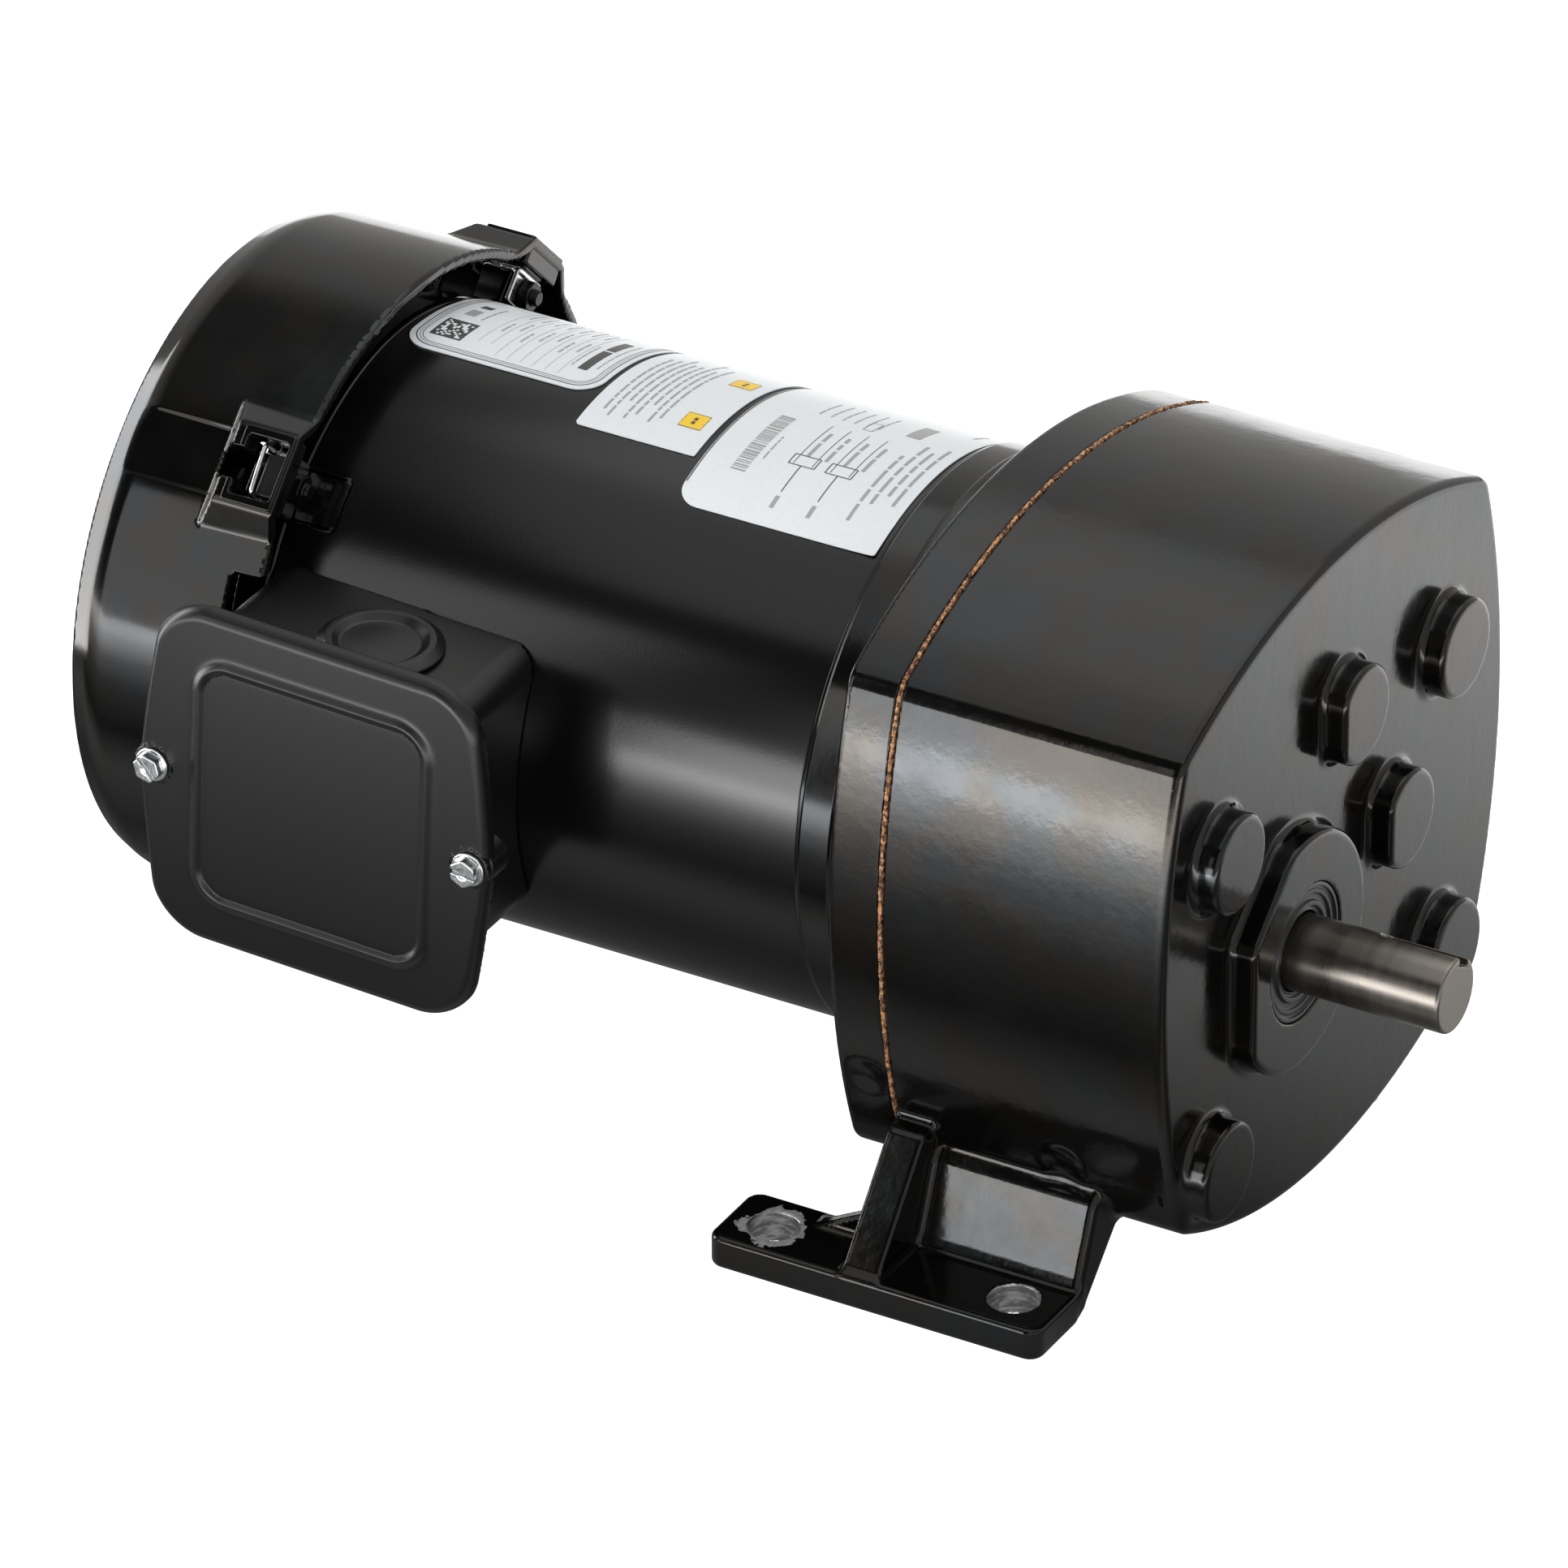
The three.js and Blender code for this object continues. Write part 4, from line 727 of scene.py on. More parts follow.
def gear_case(x, y, z):
    body = both(case_outline(y, z), x - CASE_FRONT, 2.4)
    body = both(body, SPLIT - x, 0.4)
    body = cut(body, side_dimples(x, y, z), 0.8)
    drain = convex(y, z, [(34, -68), (34, -75.6), (58, -75.6), (61, -68)], 1.0)
    body = either(body, both(drain, slab(x, -80, -49), 1.5), 1.5)
    body = either(body, feet(x, y, z), 3.0)
    bosses = [(axis, BOSS_R, ()) for axis in SCREW_BOSSES]
    bosses += [(axis, BOSS_R, [(10.2, 180)]) for axis in (SHAFT_A, SHAFT_B)]
    for axis, radius, flats in bosses + [(OUTPUT, MAIN_BOSS_R, [(26, 180), (27, 132)])]:
        body = either(body, boss(x, y, z, axis, radius, flats), 2.4)
    hollow = both(case_outline(y, z, WALL), x - CASE_FRONT + WALL)
    body = hollow_out(body, hollow, y, z, (
        (OUTPUT, 28.5, -64 - x), (SHAFT_A, 13, -60.5 - x), (SHAFT_B, 13, -60.5 - x)))
    bearing = bore(y, z, OUTPUT, 23.8, x + 48.7)
    seal_seat = bore(y, z, OUTPUT, SEAL_R + 0.15, SEAL_LOW[0] - 0.3 - x)
    body = cut(body, seal_seat, 0.5)
    body = cut(body, either(bearing, disc(y, z, *OUTPUT, SEAL_R - 3)))
    for axis in (SHAFT_A, SHAFT_B):
        body = cut(body, bore(y, z, axis, BUSH_R, x + 46.7))
    for axis in SCREW_BOSSES:
        body = cut(body, bore(y, z, axis, SCREW_HOLE_R, x + 95))
    return body


def gear_case_cover(x, y, z):
    back, front = COVER_LOW[0], COVER_HIGH[0]
    body = both(case_outline(y, z, 0.3), back - x, 1.3)
    body = both(body, x - front, 0.4)
    body = cut(body, side_dimples(x, y, z), 0.8)
    hollow = both(case_outline(y, z, WALL), back + 7 - x)
    shafts = (OUTPUT, SHAFT_A, SHAFT_B)
    body = hollow_out(body, hollow, y, z, [(axis, 12.5, -np.inf) for axis in shafts])
    for axis in shafts:
        body = cut(body, bore(y, z, axis, BUSH_R, -134.3 - x))
    for axis in SCREW_BOSSES:
        sink = bore(y, z, axis, SCREW_HEAD_R, x - back - 5.3)
        body = cut(body, either(disc(y, z, *axis, SCREW_HOLE_R), sink))
    out, across = quarter(y, z)
    bolt = np.hypot(out - MOTOR_BOLT_OUT, across) - MOTOR_BOLT_R
    body = cut(body, both(bolt, x - back - 10))
    return cut(body, disc(y, z, *MOTOR, 14.8))


def outline_points(inset, count):
    """Points round the case outline, found from its distance field, with their outward normals."""
    turn = np.linspace(0, 2 * math.pi, count, endpoint=False)
    aim = np.stack([np.cos(turn), np.sin(turn)], 1)
    centre = np.array(CASE_CENTRE)
    reach = np.full(count, 60.0)
    for _ in range(40):
        at = centre + aim * reach[:, None]
        reach -= case_outline(at[:, 0], at[:, 1], inset)
    at = centre + aim * reach[:, None]
    ahead, behind = np.roll(at, -1, 0), np.roll(at, 1, 0)
    along = ahead - behind
    normal = np.stack([along[:, 1], -along[:, 0]], 1)
    return at, normal / np.linalg.norm(normal, axis=1)[:, None]


def gasket():
    """The cork sheet between the case halves, with its ragged edge standing a little proud."""
    rng = np.random.default_rng(7)
    count = 1500
    at, normal = outline_points(0, count)
    ragged = rng.normal(0, 1, count)
    soft = sum(np.roll(ragged, k) for k in range(-3, 4)) / 7
    proud = 0.15 + 0.42 * soft + 0.1 * ragged
    width = 1 + 0.2 * np.roll(soft, 40) + 0.1 * rng.normal(0, 1, count)
    middle = (GASKET_LOW[0] + GASKET_HIGH[0]) / 2
    half = (GASKET_HIGH[0] - GASKET_LOW[0]) / 2 + 0.12
    inner, _ = outline_points(WALL, count)
    section = [(-0.9, -0.5), (-0.55, 0.7), (0, 1.0), (0.55, 0.75), (0.9, -0.5)]
    rows = [(across, at + normal * (proud * out)[:, None]) for across, out in section]
    rings = [[(middle + across * half * w, *p) for p, w in zip(row, width)]
             for across, row in rows + [(0.9, inner), (-0.9, inner)]]
    return skinned("case_gasket_cork", rings, CORK, closed=True, sharp=60)


def bare_bores(piece):
    """Gives the walls of the foot bolt holes their bare machined metal."""
    mesh = piece.data
    mesh.materials.append(CASTING)
    x, y, z = places(mesh.polygons, "center").T
    y = FEET_MID - np.abs(y - FEET_MID)
    bare = np.zeros(len(x), bool)
    for hole in FOOT_HOLES:
        bare |= np.hypot(x - hole, y - FOOT_HOLE_Y) < FOOT_HOLE_R + 0.35
    mesh.polygons.foreach_set("material_index", (bare & (z < FOOT_TOP - 0.2)).astype(np.int32))


CASE_STEP = 0.85
bare_bores(cast("gear_case_casting", gear_case, "gear_case", CASE_STEP, CASE, "case_paint"))
cast("gear_case_cover_casting", gear_case_cover, "gear_case_cover", CASE_STEP, CASE, "case_paint")
place(gasket(), "gasket", "case_gasket")


# ---------------- shaft and seal

SEAT_R = 12.5
KEY_ANGLE = math.radians(62)
KEY_HALF, KEY_DEPTH, KEY_LENGTH = 2.4, 2.4, 32.0


def output_shaft(x, y, z):
    r = np.hypot(y, z)
    shank = both(r - SHAFT_R, slab(x, -123, 0), 0.9)
    steps = [(10, -63.5, -48.5), (15, -67.7, -63.5), (SEAT_R, -89, -67.7), (6, -133, -122)]
    for radius, back, front in steps:
        shank = either(shank, both(r - radius, slab(x, back, front), 0.4))
    out = y * math.cos(KEY_ANGLE) + z * math.sin(KEY_ANGLE)
    across = z * math.cos(KEY_ANGLE) - y * math.sin(KEY_ANGLE)
    key = rectangle(x - 10 + KEY_LENGTH / 2 - 5, across, KEY_LENGTH / 2 + 5, KEY_HALF, KEY_HALF)
    return cut(shank, both(key, SHAFT_R - KEY_DEPTH - out), 0.25)


def seal():
    back, front, r = SEAL_LOW[0], SEAL_HIGH[0], SEAL_R
    can = lathe("seal_can", [
        (back, r - 1), (back, r, 0.5), (front, r, 0.5), (front, r - 1.1, 0.2),
        (front - 0.7, r - 1.3, 0.2), (front - 0.7, r - 1.8), (back, r - 1.8)],
        OUTPUT, SEAL_CASE, 128)
    body = lathe("seal_body", [
        (back + 1, r - 1.9), (front - 0.6, r - 1.9, 0.2), (front - 0.6, r - 3.0, 0.3),
        (front - 1.3, r - 3.3, 0.3), (front - 1.3, 12.9, 0.3), (front - 0.5, 12.5, 0.3),
        (front - 0.5, 11.5, 0.3), (front - 1.6, 11.0, 0.4), (front - 1.0, SHAFT_R + 0.7, 0.3),
        (front - 3, SHAFT_R + 0.3), (front - 4.5, SHAFT_R + 1.5), (front - 4.5, 13),
        (back + 1, 13)], OUTPUT, RUBBER, 128)
    return merged("output_seal_lip", [can, body])


SHAFT_STEP = 0.5
cast("output_shaft_ground", output_shaft, "output_shaft", SHAFT_STEP, SHAFT, "shaft_steel",
     "output", margin=1.0, ahead=1.0)
place(seal(), "seal", "output_seal")


# ---------------- motor shell and end bells

BELL_R = (BELL_HIGH[1] - BELL_LOW[1]) / 2


def front_bell():
    front, back = BELL_HIGH[0], SHELL_FRONT + 0.3
    rear, bearing_seat = -152, -139.7
    wide, narrow = BELL_R, SHELL_R
    return lathe("front_end_bell_casting", [
        (front, 9.5), (front, wide, 0.8), (front - 6.2, wide, 0.7), (front - 7.4, wide - 1.1, 0.5),
        (back + 1.6, wide - 1.3, 0.4), (back + 1.0, wide - 1.8, 0.3), (back, wide - 2.0, 0.4),
        (back, narrow - 2.8), (back - 5, narrow - 2.8, 0.5), (back - 5, narrow - 8),
        (-144, narrow - 8), (-144, 26), (rear, 25), (rear, BALL_BEARING_R),
        (bearing_seat, BALL_BEARING_R), (bearing_seat, 9.5)],
        MOTOR, BELL, 256, 6)


def shell():
    wall = 2.5
    return lathe("motor_shell_tube", [
        (SHELL_BACK, SHELL_R - wall), (SHELL_BACK, SHELL_R, 0.4), (SHELL_FRONT, SHELL_R, 0.5),
        (SHELL_FRONT, SHELL_R - wall)], MOTOR, SHELL, 256)


def rear_bell(x, y, z):
    r = disc(y, z, *MOTOR, 0)
    out, across = quarter(y, z)
    back = REAR_BACK
    body = both(r - SHELL_R, slab(x, back, SHELL_BACK - 0.3), 1.5)
    lug = rectangle(out - SHELL_R - 3, across, 7, 6, 1.5)
    body = either(body, both(lug, slab(x, back + 0.5, SHELL_BACK - 0.8), 0.8), 1.0)
    body = either(body, both(r - SHELL_R + 2.8, slab(x, -306, SHELL_BACK + 4.7)))
    body = cut(body, both(slab(x, -307.3, -290), slab(r, 25.5, SHELL_R - 8)), 0.6)
    body = either(body, both(r - 25, slab(x, back, -299), 0.6))
    body = cut(body, both(r - BALL_BEARING_R, -311.8 - x))
    body = both(body, 9.5 - r)
    bolt = np.hypot(out - MOTOR_BOLT_OUT, across) - MOTOR_BOLT_R
    stud = np.hypot(out - STUD_OUT, across) - 2.3
    body = cut(body, either(bolt, stud))
    ring = both(r - SHELL_R - 1.1, SHELL_R + 0.1 - r)
    return either(body, both(rectangle(x + 298, across, 8, 7.5, 2.2), ring, 0.4))


# ---------------- fan cover and fan

RIB_BACK = -318.0
CHANNEL_HALF, CHANNEL_DEPTH = 8.5, 1.5
BEVEL = (7.0, 3.0)
WINDOW_X, ACCESS_X, POCKET_X = 306.2, 314.5, 320.3
SLOT_RINGS = ((20, 42), (51, 73))
SPOKE_HALF = 2.5
CLIPS = (1, 2, 3, 4)


def fan_cover_outside(x, y, z):
    r = disc(y, z, *MOTOR, 0)
    out, across = quarter(y, z)
    half = np.abs(across)
    rib_top = FAN_R + RIB_HEIGHT
    draft = (x - FAN_FRONT) / (FAN_FRONT - FAN_BACK)
    wall = both(r - FAN_R - draft, FAN_BACK - x, 1.0)
    bevel = half_plane(x, r, (FAN_BACK + BEVEL[0], FAN_R - 0.95), (-BEVEL[1], BEVEL[0]))
    wall = both(wall, bevel, 1.0)
    rib = both(out - rib_top, half_plane(out, half, (rib_top, RIB_HALF), (1, 1)), 0.8)
    rib = both(rib, half_plane(x, out, (RIB_BACK, FAN_R + 1), (-1, 0.6)), 0.8)
    channel = both(half - CHANNEL_HALF, FAN_R - CHANNEL_DEPTH - out, 0.6)
    wall = cut(wall, both(channel, x - RIB_BACK), 0.5)
    return either(wall, both(rib, FAN_R - 12 - out), 0.8)


def clip_window(x, across, half_x, half_across):
    """The opening over a clip, and the smaller one behind it that a finger reaches through."""
    window = rectangle(x + WINDOW_X, across, half_x, half_across, 0.8)
    return either(window, rectangle(x + ACCESS_X, across, 4.5, 4.0, 1.0))


def fan_cover(x, y, z):
    r = disc(y, z, *MOTOR, 0)
    out, across = quarter(y, z)
    outside = fan_cover_outside(x, y, z)
    cover = both(cut(outside, outside + FAN_WALL), x - FAN_FRONT, 0.6)
    pocket = rectangle(x + POCKET_X, across, 0.9, 10.5, 0.4)
    cover = either(cover, both(pocket, slab(out, 65, FAN_R - 2.6), 0.3))
    cover = cut(cover, both(clip_window(x, across, 5.9, 7.9), 70 - out), 0.4)
    notch = convex(x, z, [(-307.5, -24.5), (-302, -28), (-290, -28), (-290, 52.5), (-302, 52.5),
                          (-307.5, 51.5)], 1.0)
    cover = cut(cover, both(notch, y + 30), 0.4)
    a, b = np.abs(y - MOTOR_Y), np.abs(z - MOTOR_Z)
    spoke = either(either(a, b), np.abs(across)) - SPOKE_HALF
    rings = either(*(slab(r, *ring) for ring in SLOT_RINGS))
    slots = both(cut(rings, spoke, 2.0), x - FAN_BACK - 6)
    return cut(cover, slots, 0.8)


def window_frame(x, out, across):
    """The raised frame of a clip window, in the rib's own frame."""
    frame = rectangle(x + WINDOW_X + 0.2, across, 7.0, 9.8, 1.0)
    frame = both(frame, slab(out, FAN_R - 2, FAN_R + RIB_HEIGHT + 0.6), 0.4)
    return cut(frame, clip_window(x, across, 5.6, 7.6), 0.35)


def turned_out(piece, number):
    """Sets a piece drawn along Y out along one of the motor's four ribs."""
    turn = Matrix.Rotation(math.radians(45 + 90 * (number - 1)), 4, "X")
    piece.data.transform(Matrix.Translation((0, MOTOR_Y * MM, MOTOR_Z * MM)) @ turn)
    return piece


def cooling_fan(x, y, z):
    r = disc(y, z, *MOTOR, 0)
    plate = both(r - 63.3, slab(x, -320.5, -318), 0.8)
    hub = both(r - 20, slab(x, -336, -318), 1.2)
    turn = nearest(np.arctan2(z - MOTOR_Z, y - MOTOR_Y), 8)
    out, across = r * np.cos(turn), r * np.sin(turn)
    blade = both(np.abs(across) - 1.2, rectangle(x + 327, out - 41, 8.5, 23, 4.0), 0.8)
    return both(either(either(plate, hub, 1.5), blade, 1.2), 6.8 - r)


place(front_bell(), "case_paint", "front_end_bell")
place(shell(), "shell_paint", "motor_shell")
MOTOR_STEP = 1.0
cast("rear_end_bell_casting", rear_bell, "rear_end_bell", MOTOR_STEP, BELL, "case_paint", ahead=10)
cover_parts = [moulded("cover_wall", fan_cover, FAN_LOW - 2, FAN_HIGH + 2, MOTOR_STEP, FAN_PLASTIC)]
for number in CLIPS:
    surround = moulded(f"window_frame_{number}", window_frame, (-315, 82, -11), (-298, 92, 11),
                       0.45, FAN_PLASTIC)
    cover_parts.append(turned_out(surround, number))
place(merged("fan_cover_shell", cover_parts, FAN_PLASTIC), "fan_plastic", "fan_cover")
cast("cooling_fan_blades", cooling_fan, "cooling_fan", MOTOR_STEP, PLASTIC, "black_plastic",
     "rotor")


# ---------------- terminal box, in its own tilted frame

IN_BOX = Matrix.Translation((BOX_X * MM, 0, BOX_Z * MM)) @ Matrix.Rotation(BOX_TILT, 4, "Y")
COVER_SHEET = 1.6
BOX_BACK = -31.0
KNOCKOUT_X, KNOCKOUT_Y, KNOCKOUT_R = 4.5, -55.0, 12.5
LEAD_HOLE, LEAD_HOLE_R = (-6, 0), 9
BOX_SCREW_HOLE_R = 2.3


def in_box(piece, x=0.0, y=0.0, z=0.0, stand=Matrix()):
    """Sets a piece on its spot in the box's frame, and then in the scene's."""
    piece.data.transform(IN_BOX @ Matrix.Translation((x * MM, y * MM, z * MM)) @ stand)
    return piece


def terminal_box(x, y, z):
    front = BOX_FACE + COVER_SHEET + 0.3
    plan = rectangle(x, z, BOX_HALF_X, BOX_HALF_Z, 7)
    ear = rectangle(np.abs(x) - BOX_SCREW + 5, z, 10.5, 5.5, 5.4)
    box = both(plan, slab(y, front, BOX_BACK), 0.8)
    box = either(box, both(ear, slab(y, front, front + 8), 0.6), 2.0)
    box = cut(box, both(plan + 2.5, y - MOTOR_Y + SHELL_R + 2.5))
    lean_z = z + BOX_Z - MOTOR_Z - x * math.sin(BOX_TILT)
    box = both(box, SHELL_R + 0.3 - np.hypot(y - MOTOR_Y, lean_z))
    for hole in (bore(x, y, (KNOCKOUT_X, KNOCKOUT_Y), KNOCKOUT_R + 0.3, 20 - z),
                 bore(x, z, LEAD_HOLE, LEAD_HOLE_R, -60 - y),
                 bore(np.abs(x), z, (BOX_SCREW, 0), BOX_SCREW_HOLE_R, y + 66)):
        box = cut(box, hole)
    return box


def box_cover(x, y, z):
    h, v = np.abs(x), np.hypot(z, 2.5)
    slant = half_plane(h, v, (51.3, 1.0), (45.5, 8.3))
    outline = both(both(both(h - 51.0, slant, 8.0), slant), v - 46.5, 13.0)
    panel = rectangle(x, z, 33, 34.5, 10)
    bead = 1.15 * np.exp(-((panel + 1.5) / 1.35) ** 2)
    inner = 0.35 / (1 + np.exp((panel + 2.0) / 0.6))
    dome = 0.5 * np.clip(1 - (x / 52) ** 2, 0, 1) * np.clip(1 - (z / 48) ** 2, 0, 1)
    face = BOX_FACE + 0.45 - both(bead, inner) - dome
    outer = both(outline, face - y, 3.0)
    outer = both(outer, y - BOX_FACE - 4.6)
    cover = cut(outer, both(outline, face - y) + COVER_SHEET, 0.5)
    seat = bore(h, z, (BOX_SCREW, 0), 5.2, slab(y, BOX_FACE, BOX_FACE + 1.9))
    return cut(either(cover, seat), disc(h, z, BOX_SCREW, 0, BOX_SCREW_HOLE_R))


def slotted_hex_screw(turn):
    """A hex washer-head screw with a slot, drawn about its own axis along Y."""
    def field(x, y, z):
        r = np.hypot(x, z)
        angle = nearest(np.arctan2(z, x) - turn, 6)
        head = both(both(r * np.cos(angle) - 3.3, slab(y, -3.5, -0.6), 0.3), r - 3.7, 0.3)
        washer = both(r - 4.4, slab(y, -0.95, -0.1), 0.3)
        shank = both(r - 2.0, slab(y, -0.5, 9.5), 0.5)
        slot_turn = turn + math.radians(24)
        across = x * math.cos(slot_turn) + z * math.sin(slot_turn)
        slot = both(np.abs(across) - 0.6, y + 2.3)
        hollow = np.sqrt(r ** 2 + (y + 5.6) ** 2) - 2.6
        return cut(either(either(head, washer, 0.3), shank, 0.2), either(slot, hollow), 0.15)
    return field


def knockout_plug():
    plug = lathe("knockout_plug_disc", [
        (-3, 0), (-3, 12.2, 0.3), (0.1, 12.2), (0.1, 15.6, 0.2), (0.8, 15.6, 0.3), (2.4, 13.4, 0.5),
        (2.4, 11.8, 0.5), (0.9, 10.0, 1.2), (1.1, 6), (1.25, 0)], (0, 0), PLASTIC, 96)
    stand = Matrix.Rotation(-math.pi / 2, 4, "Y")
    return in_box(plug, KNOCKOUT_X, KNOCKOUT_Y, BOX_HALF_Z + 0.3, stand)


BOX_STEP = 0.8
LID_STEP = BOX_STEP * 0.75
box_body = moulded("terminal_box_body", terminal_box, (-56, -79, -40), (56, -28, 40), BOX_STEP, BOX)
box_lid = moulded("terminal_box_lid", box_cover, (-54, -82, -49), (54, -72, 49), LID_STEP, BOX)
place(in_box(box_body), "box_paint", "terminal_box")
place(in_box(box_lid), "box_paint", "terminal_box_cover")
for number, (side, turn) in enumerate(((-1, 0.3), (1, 1.1)), 1):
    screw = moulded(f"box_screw_{number}", slotted_hex_screw(turn), (-5, -4.2, -5), (5, 10, 5),
                    0.2, ZINC)
    in_box(screw, side * BOX_SCREW, BOX_FACE)
    place(screw, "zinc", f"terminal_box_screw_{number}")
place(knockout_plug(), "black_plastic", "knockout_plug")


# ---------------- labels on the shell

FILM_R = SHELL_R + 0.42
INK_R = FILM_R + 0.05


class Label:
    """A film on the shell: u runs forwards along the motor, v runs up from the near edge."""

    def __init__(self, node, name, corners):
        low, high = span(node)
        self.node, self.name, self.corners = node, name, corners
        self.back, self.width = low[0], high[0] - low[0]
        self.near = math.acos((low[1] - MOTOR_Y) / FILM_R)
        far = math.acos(min(1, (high[1] - MOTOR_Y) / FILM_R))
        self.height = (self.near - far) * FILM_R
        self.vertices, self.faces, self.inks = [], [], []

    def at(self, u, v, radius):
        angle = self.near - v / FILM_R
        return ((self.back + u) * MM, (MOTOR_Y + radius * math.cos(angle)) * MM,
                (MOTOR_Z + radius * math.sin(angle)) * MM)

    def quad(self, corners, ink):
        first = len(self.vertices)
        self.vertices += [self.at(u, v, INK_R) for u, v in corners]
        self.faces.append(tuple(range(first, first + 4)))
        self.inks.append(ink)

    def bar(self, u0, v0, u1, v1, ink=1):
        """A filled rectangle."""
        u = (u0 + u1) / 2
        self.stroke([(u, v0), (u, v1)], u1 - u0, ink, 1.5)

    def stroke(self, points, width, ink=1, longest=2):
        """A line through points, in pieces short enough to follow the shell."""
        for (ua, va), (ub, vb) in zip(points, points[1:]):
            length = math.hypot(ub - ua, vb - va)
            nu, nv = (va - vb) / length * width / 2, (ub - ua) / length * width / 2
            pieces = max(1, math.ceil(length / longest))
            for k in range(pieces):
                (au, av), (bu, bv) = ((ua + (ub - ua) * t, va + (vb - va) * t)
                                      for t in (k / pieces, (k + 1) / pieces))
                self.quad([(au - nu, av - nv), (bu - nu, bv - nv),
                           (bu + nu, bv + nv), (au + nu, av + nv)], ink)

    def border(self, inset, radius, width, ink=1):
        """A line round the label with rounded corners."""
        near = inset + radius
        right, top = self.width - near, self.height - near
        centres = ((right, top, 0), (near, top, 90), (near, near, 180), (right, near, 270))
        points = []
        for u, v, start in centres:
            for k in range(9):
                a = math.radians(start + 90 * k / 8)
                points.append((u + radius * math.cos(a), v + radius * math.sin(a)))
        self.stroke(points + points[:1], width, ink)

    def box(self, u0, v0, u1, v1, width, ink=1):
        self.stroke([(u0, v0), (u1, v0), (u1, v1), (u0, v1), (u0, v0)], width, ink)

    def words(self, rng, u, v0, v1, size, ink=2):
        """A row of plain blocks where printed words stand, running up the label."""
        v = v0
        while v < v1 - size:
            length = min(rng.uniform(1.4, 5.0) * size, v1 - v)
            self.bar(u - size * 0.28, v, u + size * 0.28, v + length, ink)
            v += length + size * rng.uniform(0.45, 0.7)

    def film(self, lift):
        """The film: columns between its near and far edges, and a skirt down to the shell."""
        near_back, near_front = self.corners
        work = bmesh.new()
        count, rows = 60, 40
        grid = []
        for i in range(count + 1):
            u = self.width * (1 - math.cos(math.pi * i / count)) / 2
            start = 0.0
            for corner, away in ((near_back, u), (near_front, self.width - u)):
                if away < corner:
                    start = corner - math.sqrt(max(corner ** 2 - (corner - away) ** 2, 0))
            column = []
            for j in range(rows + 1):
                v = start + (self.height - start) * j / rows
                curl = lift * math.exp(-(self.width - u) / 5) * math.exp(-v / 5)
                column.append(work.verts.new(self.at(u, v, FILM_R + curl)))
            grid.append(column)
        for a, b in zip(grid, grid[1:]):
            for j in range(rows):
                work.faces.new([a[j], b[j], b[j + 1], a[j + 1]])
        rim = [e for e in work.edges if len(e.link_faces) == 1]
        made = bmesh.ops.extrude_edge_only(work, edges=rim)
        middle = Vector((0, MOTOR_Y * MM, MOTOR_Z * MM))
        for vert in (v for v in made["geom"] if isinstance(v, bmesh.types.BMVert)):
            out = vert.co - middle
            out.x = 0
            vert.co -= out.normalized() * (0.3 * MM)
        return finished(self.name, work, FILM, 40, outward=False)

    def build(self, lift=0.0):
        place(self.film(lift), "label_film", self.node)
        mesh = bpy.data.meshes.new(self.name + "_print")
        mesh.from_pydata(self.vertices, [], self.faces)
        for ink in (INK, GREY_INK, YELLOW_INK):
            mesh.materials.append(ink)
        mesh.polygons.foreach_set("material_index", [ink - 1 for ink in self.inks])
        place(new_object(mesh.name, mesh), "label_film")


def nameplate():
    label = Label("nameplate", "nameplate_film", (7.0, 7.0))
    rng = np.random.default_rng(11)
    label.border(1.5, 6.0, 0.3)
    label.border(2.3, 5.3, 0.25, 2)
    label.border(3.0, 4.6, 0.18)
    cell, wide, tall = 0.72, 12, 14
    for i in range(wide):
        for j in range(tall):
            if i in (0, wide - 1) or j in (0, tall - 1) or rng.random() < 0.5:
                u, v = 4.6 + cell * i, 6.5 + cell * j
                label.bar(u, v, u + cell * 0.94, v + cell * 0.94)
    label.bar(6, 21, 9, 26, 2)
    label.bar(6, 29, 9, 32)
    label.words(rng, 11.5, 20, 34, 0.9, 2)
    for k in range(8):
        u = 17 + 3.5 * k
        label.stroke([(u, 4.5 if k > 1 else 9), (u, label.height - 4)], 0.13, 2)
        if k:
            label.words(rng, u - 1.6, 14 + 3 * (k % 3), 22 + 3 * (k % 3), 1.0)
            label.words(rng, u - 1.6, 31, 40, 1.0, 2)
    label.bar(44.6, 9, 47.2, 22)
    label.bar(44.6, 23, 47.2, 33)
    label.words(rng, 42.6, 10, 24, 0.8, 2)
    label.words(rng, 49, 11, 34, 0.7, 2)
    label.build()


def centre_label():
    label = Label("centre_label", "centre_label_film", (1.2, 0.6))
    rng = np.random.default_rng(23)
    for k, start in enumerate((7.5, 5.5, 13, 6, 8.5, 14, 7, 9.5)):
        label.words(rng, 4 + 2.05 * k, start, start + 34 + 3 * (k % 2), 1.15)
    for v in (9.0, 34.0):
        label.bar(23.5, v, 29.5, v + 6, 3)
        label.box(23.5, v, 29.5, v + 6, 0.25)
        label.bar(26, v + 1.4, 27, v + 4.6)
    label.build()


